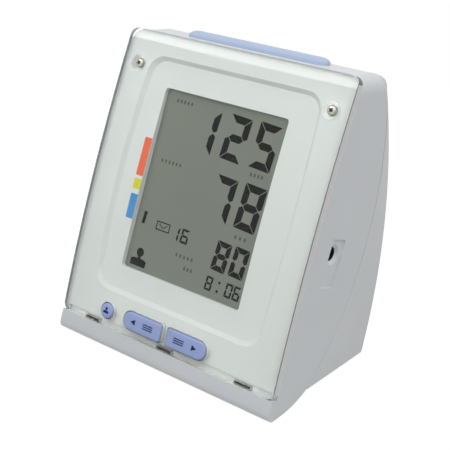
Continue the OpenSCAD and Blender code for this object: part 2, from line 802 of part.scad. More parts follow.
module controller_chip() {
    side = 14;
    legs = 16;
    row = 12;
    color("black") on_board_back(-4, 58) {
        translate([-side / 2, -side / 2, 0.3]) cube([side, side, 1.5]);
        translate([-legs / 2, -row / 2, 0]) cube([legs, row, 0.5]);
        translate([-row / 2, -legs / 2, 0]) cube([row, legs, 0.5]);
    }
}

module capacitors() {
    color("navy") for (p = [[-38, 34], [-30, 34], [34, 84]]) on_board_back(p[0], p[1]) {
        cylinder(r = 3.15, h = 7);
        cylinder(r = 3.5, h = 0.8);
    }
}

module buzzer() {
    color("black") on_board_back(-30, 92) difference() {
        cylinder(r = 6, h = 5);
        translate([0, 0, 2.5]) cylinder(r = 1, h = 5);
    }
}

sensor_u = 18;
sensor_v = 82;
sensor_tip = 9;
module pressure_sensor() {
    color("black") on_board_back(sensor_u, sensor_v) {
        translate([-5, -4.5, 0]) cube([10, 9, 4]);
        cylinder(r = 2.6, h = 5);
        cylinder(r = 1.5, h = sensor_tip);
    }
}

module power_socket() {
    color("black") translate([jack_front - jack_l, port_p[0], port_p[1]]) rotate([0, 90, 0]) {
        difference() {
            union() {
                rotate(-tilt) translate([-5.5, -jack_off, 0]) cube([11, 2 * jack_off, jack_l - 3]);
                cylinder(r = jack_off - 0.1, h = jack_l);
            }
            translate([0, 0, 3.5]) cylinder(r = jack_r, h = jack_l);
        }
        cylinder(r = 0.95, h = jack_l - 2);
    }
}

air_body_r = 6;
barb_x = air_depth + 9;
module air_socket() {
    color("lightgray") translate([-half_w, air_p[0], air_p[1]]) rotate([0, 90, 0]) difference() {
        union() {
            cylinder(r = air_body_r, h = air_depth + 2);
            translate([0, 0, wall + 0.1]) cylinder(r = air_body_r + 1.6, h = 1.6);
            cylinder(r = 1.6, h = barb_x);
        }
        translate([0, 0, -1]) cylinder(r = air_r, h = air_depth + 1);
        cylinder(r = 0.8, h = barb_x + 1);
    }
}

// ---- Keys ----

key_top_n = swell(key_v) + key_proud;
module mem_key() {
    crown_r = 60;
    intersection() {
        union() {
            layer(key_back_n, key_top_n) key_outline(0);
            layer(key_back_n, key_back_n + key_flange) key_outline(1);
        }
        translate([key_l / 2, 0, key_top_n - crown_r]) rotate([90, 0, 0])
            cylinder(r = crown_r, h = 40, center = true, $fn = 360);
    }
}

module mem_right_button() {
    color("lightsteelblue") on_face() translate([key_gap / 2, key_v]) mem_key();
}

module mem_left_button() {
    color("lightsteelblue") on_face() mirror([1, 0, 0]) translate([key_gap / 2, key_v]) mem_key();
}

module user_button() {
    color("lightsteelblue") on_face() translate([-user_x, key_v]) intersection() {
        union() {
            layer(key_back_n, key_top_n) circle(user_r);
            layer(key_back_n, key_back_n + key_flange) circle(user_r + 1);
        }
        translate([0, 0, key_top_n - 12]) sphere(12, $fn = 120);
    }
}

module start_button() {
    crown_r = 7;
    color("lightsteelblue") on_top() translate([0, bar_y]) {
        intersection() {
            layer(bar_back, bar_h) stadium(bar_l, bar_w);
            translate([0, 0, bar_h - crown_r]) rotate([0, 90, 0])
                cylinder(r = crown_r, h = bar_l + 10, center = true, $fn = 180);
        }
        layer(bar_back, bar_back + bar_flange) stadium(bar_l + 2.4, bar_w + 2.4);
        translate([0, 0, bar_back - bar_foot]) cylinder(r = 2.5, h = bar_foot + 1);
    }
}

// ---- Battery bay ----

tongue_w = 18;
slot_w = 0.8;
module battery_door() {
    color("gainsboro") {
        difference() {
            intersection() {
                back_plate(0, door_t);
                on_bay() translate([0, 0, hinge_z / 2 + door_h / 4])
                    rotate([90, 0, 0]) linear_extrude(40, center = true)
                    rounded(door_w, door_h / 2 - hinge_z, 2.5);
            }
            // Slots beside the latch tongue and a groove for a fingertip
            on_bay() for (x = [-1, 1]) translate([x * tongue_w / 2, 0, door_h / 2 - 4])
                cube([slot_w, 20, 10], center = true);
            on_bay() translate([0, 1.6, door_h / 2 - 7]) rotate([0, 90, 0])
                cylinder(r = 3.2, h = tongue_w - 4, center = true);
        }
        on_bay() translate([0, hinge_y, hinge_z]) rotate([0, 90, 0]) {
            cylinder(r = hinge_r, h = door_w, center = true);
            cylinder(r = hinge_pin_r, h = door_w + 5.4, center = true);
        }
        // Ribs that press the cells down
        for (x = [-1, 1]) intersection() {
            back_plate(door_t - 0.4, door_t + 1.2);
            on_bay() translate([x * 14, 0, 0]) cube([1.6, 40, 4 * cell_r], center = true);
        }
    }
}

function cell_z(k) = (k - 1.5) * (2 * cell_r + 0.4);
plate_t = 0.4;
cell_end = bay_w / 2 - plate_t - 0.1;

module each_cell() {
    on_bay() for (k = [0:3]) translate([0, cell_y, cell_z(k)])
        rotate(k % 2 == 0 ? 0 : 180) children();
}

module battery_cells() {
    nub = 1.3;
    color("slategray") each_cell() rotate([0, 90, 0]) {
        translate([0, 0, cell_end - cell_l]) cylinder(r = cell_r, h = cell_l - nub);
        cylinder(r = 2.7, h = cell_end);
    }
}

module cell_plates() {
    color("silver") each_cell() for (x = [-1, 1]) translate([x * (bay_w / 2 - plate_t / 2), 0, 0])
        cube([plate_t - 0.02, 10, 11], center = true);
}

// Points of a helix that closes up from one radius to another
function coil_points(r0, r1, rise, turns, per) = [for (k = [0:turns * per])
    let (t = k / (turns * per), r = r0 + (r1 - r0) * t)
    [r * cos(360 * turns * t), r * sin(360 * turns * t), rise * t]];

spring_wire = 0.35;
spring_gap = 2 * cell_end - cell_l;
module cell_springs() {
    color("silver") each_cell() translate([-cell_end - 0.05 + spring_wire, 0, 0]) rotate([0, 90, 0])
        sweep(coil_points(4.2, 2.2, spring_gap - 2 * spring_wire - 0.1, 3, 8), spring_wire, 6, [1, 0, 0]);
}

// ---- Pump ----

module along_pump(x) { translate([x, pump_y, pump_z]) rotate([0, 90, 0]) children(); }

shaft_r = 1;
shaft_clear = 0.05;
cam_x = 2.5;
cam_l = 4;
module pump_motor() {
    color("silver") along_pump(motor_x) difference() {
        union() {
            cylinder(r = motor_r, h = motor_l);
            translate([0, 0, -1.5]) cylinder(r = 3, h = 2);
        }
        translate([0, 0, 1]) cylinder(r = shaft_r + shaft_clear, h = motor_l);
    }
}

module pump_shaft() {
    color("dimgray") along_pump(motor_x + 1.3) {
        cylinder(r = shaft_r, h = motor_l - 1.3 + cam_x + cam_l);
        translate([1.5, 0, motor_l - 1.3 + cam_x]) cylinder(r = 4.5, h = cam_l);
    }
}

pump_nipple_x = head_x + 12;
nipple_r = 1.6;
nipple_h = 3.5;
module pump_head() {
    color("ivory") {
        along_pump(head_x) difference() {
            layer(0, pump_l) rounded(pump_w, pump_w, 3);
            translate([0, 0, -1]) cylinder(r = 7, h = cam_x + cam_l + 2.5);
            for (x = [-1, 1], y = [-1, 1])
                translate([x * (pump_w / 2 - 3), y * (pump_w / 2 - 3), pump_l - 2]) cylinder(r = 1.5, h = 5);
        }
        translate([pump_nipple_x, pump_y, pump_z + pump_w / 2 - 0.5])
            cylinder(r = nipple_r, h = nipple_h + 0.5);
    }
}

module pump_cradle() {
    color("dimgray") difference() {
        translate([motor_x + 1, pump_y - pump_w / 2, pad_top])
            cube([motor_l + pump_l - 1, pump_w, cradle_t + 6]);
        translate([motor_x - 1, pump_y, pump_z]) rotate([0, 90, 0])
            cylinder(r = motor_r + 0.1, h = motor_l + 1);
        translate([head_x - 0.1, pump_y - pump_w / 2 - 1, pad_top + cradle_t - 0.05])
            cube([pump_l + 1, pump_w + 2, 20]);
    }
}

// ---- Release valve ----

yoke_t = 1.2;
yoke_w = 2 * coil_r + 1;
yoke_d = 13;
coil_z0 = pad_top + yoke_t;
coil_z1 = pad_top + yoke_h - yoke_t;
plunger_r = 2.5;
neck_r = 1.2;
neck_h = 3.2;
plunger_top = coil_z0 + 10;
shoulder_z = plunger_top - neck_h;
valve_travel = 0.8;
nozzle_low = plunger_top + valve_travel + 0.2;

module at_valve(z) { translate([valve_x, valve_y, z]) children(); }

module valve_yoke() {
    color("silver") at_valve(pad_top) difference() {
        translate([-yoke_w / 2 - yoke_t, -yoke_d / 2, 0]) cube([yoke_w + 2 * yoke_t, yoke_d, yoke_h]);
        translate([-yoke_w / 2, -yoke_d, yoke_t]) cube([yoke_w, 2 * yoke_d, yoke_h - 2 * yoke_t]);
        translate([0, 0, yoke_h - 5]) cylinder(r = plunger_r + 0.05, h = 10);
    }
}

module valve_coil() {
    color("peru") at_valve(coil_z0 + 0.02) difference() {
        union() {
            cylinder(r = coil_r - 0.8, h = coil_z1 - coil_z0 - 0.04);
            for (z = [0, coil_z1 - coil_z0 - 1.04]) translate([0, 0, z]) cylinder(r = coil_r, h = 1);
        }
        translate([0, 0, -1]) cylinder(r = plunger_r + 0.08, h = 40);
    }
}

nozzle_tip = pad_top + yoke_h + 5;
module valve_nozzle() {
    color("ivory") at_valve(0) difference() {
        union() {
            translate([0, 0, nozzle_low]) cylinder(r = plunger_r, h = coil_z1 + yoke_t + 1.2 - nozzle_low);
            translate([0, 0, pad_top + yoke_h + 0.05]) cylinder(r = 3.6, h = 1.2);
            translate([0, 0, coil_z1]) cylinder(r = nipple_r, h = nozzle_tip - coil_z1);
        }
        cylinder(r = 0.7, h = 60);
    }
}

// The plunger stands on the yoke's floor, and its neck closes the nozzle when it lifts
module valve_plunger() {
    color("silver") at_valve(coil_z0 + 0.1) {
        cylinder(r = plunger_r, h = shoulder_z - coil_z0 - 0.1);
        cylinder(r = neck_r, h = plunger_top - coil_z0 - 0.1);
    }
}

module valve_spring() {
    wire = 0.22;
    color("silver") at_valve(shoulder_z + 0.06 + wire)
        sweep(coil_points(1.85, 1.85, nozzle_low - shoulder_z - 2 * wire - 0.12, 4, 8), wire, 6, [1, 0, 0]);
}

// ---- Air lines ----

module nipple(p, rot) { translate(p) rotate(rot) cylinder(r = nipple_r, h = manifold_r + nipple_h); }

module air_manifold() {
    color("ivory") {
        translate([manifold_x[0], manifold_y, manifold_z]) rotate([0, 90, 0])
            cylinder(r = manifold_r, h = manifold_x[1] - manifold_x[0]);
        nipple([manifold_x[0] + 3, manifold_y, manifold_z], [180, 0, 0]);
        nipple([manifold_x[1] - 3, manifold_y, manifold_z], [180, 0, 0]);
        nipple([(manifold_x[0] + manifold_x[1]) / 2, manifold_y, manifold_z], [0, 0, 0]);
        nipple([manifold_x[0] + manifold_r, manifold_y, manifold_z], [0, -90, 0]);
    }
}

module bleed_valve() {
    color("black") translate([manifold_x[1] + 0.05, manifold_y, manifold_z]) rotate([0, 90, 0]) {
        cylinder(r = 3.6, h = 6);
        cylinder(r = 2, h = 9);
    }
}

// A hose stands just off its two nipples, and leaves each one straight
hose_off = 0.08;
hose_end = 0.6;
module hose(a, da, b, db, reach) {
    color("mistyrose") sweep(concat([a + hose_off * da],
        hose_points(a + hose_end * da, da, b + hose_end * db, db, reach, 12), [b + hose_off * db]),
        hose_r, 8, [da[1], da[2], da[0]]);
}

drop = manifold_r + nipple_h;
module pump_hose() {
    hose([pump_nipple_x, pump_y, pump_z + pump_w / 2 + nipple_h], [0, 0, 1],
        [manifold_x[0] + 3, manifold_y, manifold_z - drop], [0, 0, -1], 5);
}

module valve_hose() {
    hose([valve_x, valve_y, nozzle_tip], [0, 0, 1],
        [manifold_x[1] - 3, manifold_y, manifold_z - drop], [0, 0, -1], 8);
}

module cuff_hose() {
    hose([barb_x - half_w, air_p[0], air_p[1]], [1, 0, 0],
        [manifold_x[0] + manifold_r - drop, manifold_y, manifold_z], [-1, 0, 0], 16);
}

module sensor_hose() {
    tip = fp(sensor_v, board_n - board_t - sensor_tip);
    hose([sensor_u, tip[0], tip[1]], [0, cos(tilt), -sin(tilt)],
        [(manifold_x[0] + manifold_x[1]) / 2, manifold_y, manifold_z + drop], [0, 0, 1], 8);
}

front_shell();
rear_shell();
clear_cover();
cover_screws();
housing_screws();
rubber_feet();
battery_door();
battery_cells();
cell_springs();
cell_plates();
start_button();
user_button();
mem_left_button();
mem_right_button();
display_glass();
display_tray();
display_connector();
main_board();
board_screws();
front_switches();
controller_chip();
capacitors();
buzzer();
pressure_sensor();
start_board();
start_switch();
power_socket();
air_socket();
pump_motor();
pump_shaft();
pump_head();
pump_cradle();
valve_yoke();
valve_coil();
valve_nozzle();
valve_plunger();
valve_spring();
air_manifold();
bleed_valve();
pump_hose();
valve_hose();
cuff_hose();
sensor_hose();
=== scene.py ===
"""Desktop blood pressure monitor: bevelled mouldings, keys, display figures and finishes."""
import json
import math

import bmesh
import bpy
from bpy.props import FloatProperty, FloatVectorProperty, PointerProperty
from mathutils import Matrix, Vector

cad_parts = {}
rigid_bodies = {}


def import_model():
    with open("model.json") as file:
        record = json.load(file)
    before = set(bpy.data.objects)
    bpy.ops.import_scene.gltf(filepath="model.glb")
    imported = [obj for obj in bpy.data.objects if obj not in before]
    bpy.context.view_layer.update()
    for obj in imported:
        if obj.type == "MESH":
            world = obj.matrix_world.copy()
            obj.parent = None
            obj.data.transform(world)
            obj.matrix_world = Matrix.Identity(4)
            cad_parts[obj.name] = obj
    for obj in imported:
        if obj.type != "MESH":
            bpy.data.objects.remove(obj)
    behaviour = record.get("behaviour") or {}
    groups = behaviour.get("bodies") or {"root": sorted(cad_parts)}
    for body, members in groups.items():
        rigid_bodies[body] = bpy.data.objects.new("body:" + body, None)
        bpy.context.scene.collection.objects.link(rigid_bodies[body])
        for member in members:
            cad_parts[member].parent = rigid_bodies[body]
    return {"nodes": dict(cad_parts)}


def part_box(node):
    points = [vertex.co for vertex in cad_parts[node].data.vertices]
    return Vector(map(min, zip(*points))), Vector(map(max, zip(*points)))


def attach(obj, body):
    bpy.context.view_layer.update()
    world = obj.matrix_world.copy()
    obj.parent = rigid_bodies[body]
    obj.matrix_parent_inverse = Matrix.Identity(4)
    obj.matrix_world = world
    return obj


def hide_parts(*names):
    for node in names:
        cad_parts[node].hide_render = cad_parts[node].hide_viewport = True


bl_info = {
    "name": "Desktop Blood Pressure Monitor",
    "version": (1, 0, 0),
    "blender": (4, 5, 0),
    "location": "View3D > Sidebar > Monitor",
    "description": "Builds the mouldings, keys, display and finishes of a desktop blood pressure monitor",
    "category": "Object",
}

for leftover in list(bpy.data.objects):
    bpy.data.objects.remove(leftover)
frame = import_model()
bpy.ops.object.select_all(action="DESELECT")
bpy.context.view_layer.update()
NODES = frame["nodes"]
MM = 0.001

# New pieces are modelled in millimetres, and these places bring them to metres.
# The leaning face: X across, Y up the slope, Z out of the face, from the cover's lower front edge
TO_METRES = Matrix.Scale(MM, 4)
FACE = TO_METRES @ Matrix.Translation((0, -39.895, 10.4)) @ Matrix.Rotation(math.radians(70), 4, "X")
# The top: X across, Y towards the back, Z up
TOP = TO_METRES @ Matrix.Translation((0, 8.943, 135.224)) @ Matrix.Rotation(math.radians(-6), 4, "X")
# The face: its width, its height up the slope, and how far it swells half-way up
FACE_WIDTH = 120
FACE_HEIGHT = 134
FACE_BULGE = 2.5
# The clear cover's thickness, the plane of the display glass, and the fall of the panel below the cover
COVER_T = 3.2
GLASS_N = -5.357
PANEL_FALL = 1.8


def swell(v):
    """Forward swell of the face at a height up its slope."""
    half = FACE_HEIGHT / 2
    return FACE_BULGE * (1 - ((v - half) / half) ** 2)


# ---- Modelling helpers ----

def take(*pieces):
    """Selects only these pieces and makes the first one active."""
    bpy.ops.object.select_all(action="DESELECT")
    for piece in pieces:
        piece.select_set(True)
    bpy.context.view_layer.objects.active = pieces[0]


def edit(piece):
    """Opens a piece in edit mode with nothing selected."""
    take(piece)
    bpy.ops.object.mode_set(mode="EDIT")
    bpy.ops.mesh.select_all(action="DESELECT")


def done():
    bpy.ops.object.mode_set(mode="OBJECT")


def pick(piece, kind, test):
    """Selects the faces, edges or vertices that pass a test, in edit mode."""
    modes = {"faces": "FACE", "edges": "EDGE", "verts": "VERT"}
    bpy.ops.mesh.select_mode(type=modes[kind])
    bpy.ops.mesh.select_all(action="DESELECT")
    mesh = bmesh.from_edit_mesh(piece.data)
    for part in getattr(mesh, kind):
        part.select_set(bool(test(part)))
    mesh.select_flush_mode()
    bmesh.update_edit_mesh(piece.data)


def block(size, at=(0, 0, 0)):
    """A box primitive with its size and place in the mesh."""
    bpy.ops.mesh.primitive_cube_add(size=1, location=at, scale=size)
    bpy.ops.object.transform_apply()
    return bpy.context.object


def disc(radius, depth, at=(0, 0, 0), around=64):
    """A short cylinder along Z that stands on a point."""
    bpy.ops.mesh.primitive_cylinder_add(
        vertices=around, radius=radius, depth=depth, location=(at[0], at[1], at[2] + depth / 2))
    bpy.ops.object.transform_apply()
    return bpy.context.object


def level_of(piece):
    return max(v.co.z for v in bmesh.from_edit_mesh(piece.data).verts)


def pick_top(piece):
    """Selects the flat top face, in edit mode."""
    level = level_of(piece)
    pick(piece, "faces", lambda f: f.normal.z > 0.9 and f.calc_center_median().z > level - 0.01)


def pillow(piece, rings):
    """Raises the top face in rings, each an inset and a rise, so its rim rounds over."""
    edit(piece)
    pick_top(piece)
    for inset, rise in rings:
        bpy.ops.mesh.inset(thickness=inset, depth=0)
        bpy.ops.transform.translate(value=(0, 0, rise))
    done()


def crown(half, radius, steps):
    """Rings for a pillow whose cross-section is an arc over a half width."""
    step = half * 0.9 / steps
    rise = [math.sqrt(radius ** 2 - (half - step * k) ** 2) for k in range(steps + 1)]
    return [(step, high - low) for low, high in zip(rise, rise[1:])]


def dome(piece, middle, shrinks, rise):
    """Draws the top face in towards the middle and up, a little at a time."""
    edit(piece)
    pick_top(piece)
    for shrink in shrinks:
        bpy.ops.mesh.extrude_region_move(TRANSFORM_OT_translate={"value": (0, 0, rise)})
        bpy.ops.transform.resize(value=(shrink, shrink, 1), center_override=(middle[0], middle[1], 0))
    done()


def round_upright(piece, side, radius, steps):
    """Rounds the upright edges on one side of a block."""
    edit(piece)
    along = [v.co.x for v in bmesh.from_edit_mesh(piece.data).verts]
    middle = (min(along) + max(along)) / 2
    pick(piece, "edges", lambda e: abs((e.verts[0].co - e.verts[1].co).normalized().z) > 0.9
         and side * (e.verts[0].co.x - middle) > 0)
    bpy.ops.mesh.bevel(offset=radius, segments=steps, affect="EDGES", clamp_overlap=False)
    done()


def round_rim(piece, radius, steps):
    """Rounds the edge all round the top face."""
    edit(piece)
    level = level_of(piece)
    pick(piece, "edges", lambda e: all(v.co.z > level - 0.01 for v in e.verts))
    bpy.ops.mesh.bevel(offset=radius, segments=steps, affect="EDGES", clamp_overlap=False)
    done()


def use(piece, kind, **settings):
    """Adds a modifier with its settings and applies it."""
    take(piece)
    made = piece.modifiers.new(kind.title(), kind)
    for name, value in settings.items():
        setattr(made, name, value)
    bpy.ops.object.modifier_apply(modifier=made.name)


def cut(piece, cutter):
    """Cuts one piece out of another and removes the cutter."""
    use(piece, "BOOLEAN", operation="DIFFERENCE", solver="EXACT", object=cutter)
    bpy.data.objects.remove(cutter)


def join(*pieces):
    take(*pieces)
    bpy.ops.object.join()
    return pieces[0]


def copy(piece, place):
    """A copy of a piece with its own mesh, moved by a matrix."""
    made = piece.copy()
    made.data = piece.data.copy()
    bpy.context.scene.collection.objects.link(made)
    made.matrix_world = place @ made.matrix_world
    take(made)
    bpy.ops.object.transform_apply()
    return made


def turn_out(piece):
    """Makes every face of closed solids point outwards."""
    edit(piece)
    bpy.ops.mesh.select_all(action="SELECT")
    bpy.ops.mesh.normals_make_consistent(inside=False)
    done()


def put(piece, place):
    """Moves a piece into place, with the place kept in its mesh."""
    piece.matrix_world = place @ piece.matrix_world
    take(piece)
    bpy.ops.object.transform_apply()


def smooth_by(piece, angle):
    take(piece)
    bpy.ops.object.shade_smooth_by_angle(angle=math.radians(angle))


def soften(piece, width, steps, angle=30):
    """Rounds every sharp edge and keeps the broad faces' own shading."""
    smooth_by(piece, angle)
    use(piece, "BEVEL", width=width, segments=steps, limit_method="ANGLE", angle_limit=math.radians(angle),
        use_clamp_overlap=True, harden_normals=True)


def own(piece, name, body, finish, replaces=(), smooth=35):
    """Names a piece, gives it its finish, unless it has finishes, and lets it ride on a body."""
    piece.name = name
    piece.data.name = name
    if finish:
        piece.data.materials.clear()
        piece.data.materials.append(finish)
    if smooth:
        smooth_by(piece, smooth)
    bpy.ops.object.select_all(action="DESELECT")
    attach(piece, body)
    for node in replaces:
        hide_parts(node)
    return piece


def moulding(node, width, steps=2):
    """A copy of a CAD node with its doubles merged and its sharp edges rounded."""
    source = NODES[node]
    piece = bpy.data.objects.new(node + "_moulding", source.data.copy())
    bpy.context.scene.collection.objects.link(piece)
    edit(piece)
    bpy.ops.mesh.select_all(action="SELECT")
    bpy.ops.mesh.remove_doubles(threshold=2e-6)
    bpy.ops.mesh.customdata_custom_splitnormals_clear()
    bpy.ops.mesh.dissolve_limited(angle_limit=math.radians(0.2))
    done()
    soften(piece, width, steps)
    return piece


# ---- Finishes ----

def srgb(code):
    """Linear colour of an sRGB hex code."""
    parts = [int(code[k:k + 2], 16) / 255 for k in (1, 3, 5)]
    return tuple(c / 12.92 if c <= 0.04045 else ((c + 0.055) / 1.055) ** 2.4 for c in parts) + (1.0,)


def opaque(colour):
    return tuple(colour[:3]) + (1.0,)


def add(tree, kind, settings=(), **links):
    """Adds a node with its settings; a link is a value, or the socket that feeds the input."""
    made = tree.nodes.new(kind)
    for name, value in dict(settings).items():
        setattr(made, name, value)
    for name, value in links.items():
        socket = made.inputs[name.replace("_", " ")]
        if isinstance(value, bpy.types.NodeSocket):
            tree.links.new(value, socket)
        else:
            socket.default_value = value
    return made


def blank(name):
    made = bpy.data.materials.new(name)
    made.use_nodes = True
    made.node_tree.nodes.clear()
    return made, made.node_tree


# How far the grain moves a finish's roughness, and the roughness of every clear coat
ROUGH_SPREAD = 0.04
COAT_ROUGH = 0.1


def per_mm(size):
    """Noise scale whose features are about this many millimetres across."""
    return 1000 / size


def tones(tree, colour, spread, size, place):
    """A colour that drifts a little lighter and darker over a size in millimetres."""
    noise = add(tree, "ShaderNodeTexNoise", Vector=place, Scale=per_mm(size), Detail=3.0)
    ramp = add(tree, "ShaderNodeValToRGB", Fac=noise.outputs["Fac"])
    low, high = ramp.color_ramp.elements
    low.position, high.position = 0.3, 0.7
    low.color = tuple(c * (1 - spread) for c in colour[:3]) + (1,)
    high.color = tuple(min(1, c * (1 + spread)) for c in colour[:3]) + (1,)
    return ramp.outputs["Color"]


def grained(name, colour, rough, size, height, spread=0.02, drift=18, metal=0.0, ior=1.46, coat=0.0,
            shine=0.5):
    """A finish with a fine grain in its surface and a slow drift in its colour and gloss."""
    made, tree = blank(name)
    place = add(tree, "ShaderNodeTexCoord").outputs["Object"]
    paint = tones(tree, colour, spread, drift, place)
    grain = add(tree, "ShaderNodeTexNoise", Vector=place, Scale=per_mm(size), Detail=2.0)
    gloss = add(tree, "ShaderNodeMapRange", Value=grain.outputs["Fac"],
                To_Min=rough - ROUGH_SPREAD, To_Max=rough + ROUGH_SPREAD)
    bump = add(tree, "ShaderNodeBump", Height=grain.outputs["Fac"], Distance=height * MM, Strength=0.6)
    shader = add(tree, "ShaderNodeBsdfPrincipled", Base_Color=paint, Roughness=gloss.outputs["Result"],
                 Metallic=metal, IOR=ior, Specular_IOR_Level=shine, Coat_Weight=coat,
                 Coat_Roughness=COAT_ROUGH, Normal=bump.outputs["Normal"])
    add(tree, "ShaderNodeOutputMaterial", Surface=shader.outputs["BSDF"])
    return made


def abs_housing(colours):
    """ABS, injection moulded and spark eroded: an even satin white with a very fine orange peel."""
    return grained("abs_white_satin", opaque(colours.housing), 0.38, 0.9, 0.012, 0.012, 30)


def abs_blue(name, colour):
    """ABS coloured in the mass, moulded smooth: soft blue with broad highlights."""
    return grained(name, opaque(colour), 0.34, 0.7, 0.008, 0.02, 9)


def acrylic(name, rough, painted_glow=0.0):
    """Acrylic, injection moulded: clear, with a faint smoke in its depth. Shadow rays pass straight
    through, as they nearly do in a thin clear sheet. A painted glow, an emission with no lamp behind
    it, stands in for the light that the sheet gathers in a matt wall."""
    made, tree = blank(name)
    place = add(tree, "ShaderNodeTexCoord").outputs["Object"]
    tint = tones(tree, srgb("#e9ebe8"), 0.006, 24, place)
    shader = add(tree, "ShaderNodeBsdfPrincipled", Base_Color=tint, Roughness=rough, IOR=1.49,
                 Specular_Tint=(0.3, 0.3, 0.3, 1), Transmission_Weight=1.0,
                 Emission_Color=srgb("#eef0ea"), Emission_Strength=painted_glow)
    clear = add(tree, "ShaderNodeBsdfTransparent", Color=srgb("#edeeec"))
    path = add(tree, "ShaderNodeLightPath")
    mix = add(tree, "ShaderNodeMixShader", Fac=path.outputs["Is Shadow Ray"])
    tree.links.new(shader.outputs["BSDF"], mix.inputs[1])
    tree.links.new(clear.outputs["BSDF"], mix.inputs[2])
    add(tree, "ShaderNodeOutputMaterial", Surface=mix.outputs["Shader"])
    return made


def display_finish(colours):
    """Liquid crystal glass under a polarising film: grey green and even, with a smooth sheen."""
    return grained("liquid_crystal_glass", opaque(colours.display), 0.32, 0.5, 0.002, 0.015, 26, ior=1.5,
                   shine=0.2)


def printed(name, colour, rough=0.5, shine=0.15):
    """Pad printed ink: a thin matt film that lets a little of the grain below show."""
    return grained(name, colour, rough, 0.35, 0.004, 0.03, 2.5, shine=shine)


def metal(name, colour, rough, grain=0.25, height=0.006):
    """Metal part with the fine marks of its forming."""
    return grained(name, srgb(colour), rough, grain, height, 0.05, 3.0, metal=1.0, ior=1.5)


def open_rays(tree):
    """1 for the rays that look straight, through glass or by a mirror, and 0 for those that light."""
    path = add(tree, "ShaderNodeLightPath")
    seen = add(tree, "ShaderNodeMath", {"operation": "MAXIMUM"})
    tree.links.new(path.outputs["Is Camera Ray"], seen.inputs[0])
    tree.links.new(path.outputs["Is Transmission Ray"], seen.inputs[1])
    either = add(tree, "ShaderNodeMath", {"operation": "MAXIMUM"})
    tree.links.new(seen.outputs["Value"], either.inputs[0])
    tree.links.new(path.outputs["Is Glossy Ray"], either.inputs[1])
    return either.outputs["Value"]


def backdrop_finish():
    """Pale paper that reads as white to the camera and keeps the object's soft shadow."""
    made, tree = blank("paper_white")
    place = add(tree, "ShaderNodeTexCoord").outputs["Object"]
    paper = tones(tree, srgb("#c8c8c8"), 0.004, 60, place)
    part = add(tree, "ShaderNodeMath", {"operation": "MULTIPLY"})
    tree.links.new(open_rays(tree), part.inputs[0])
    part.inputs[1].default_value = 0.8
    shade = add(tree, "ShaderNodeBsdfDiffuse", Color=paper, Roughness=0.0)
    light = add(tree, "ShaderNodeEmission", Color=(1, 1, 1, 1), Strength=1.2)
    mix = add(tree, "ShaderNodeMixShader", Fac=part.outputs["Value"])
    tree.links.new(shade.outputs["BSDF"], mix.inputs[1])
    tree.links.new(light.outputs["Emission"], mix.inputs[2])
    add(tree, "ShaderNodeOutputMaterial", Surface=mix.outputs["Shader"])
    return made


FINISHES = {}


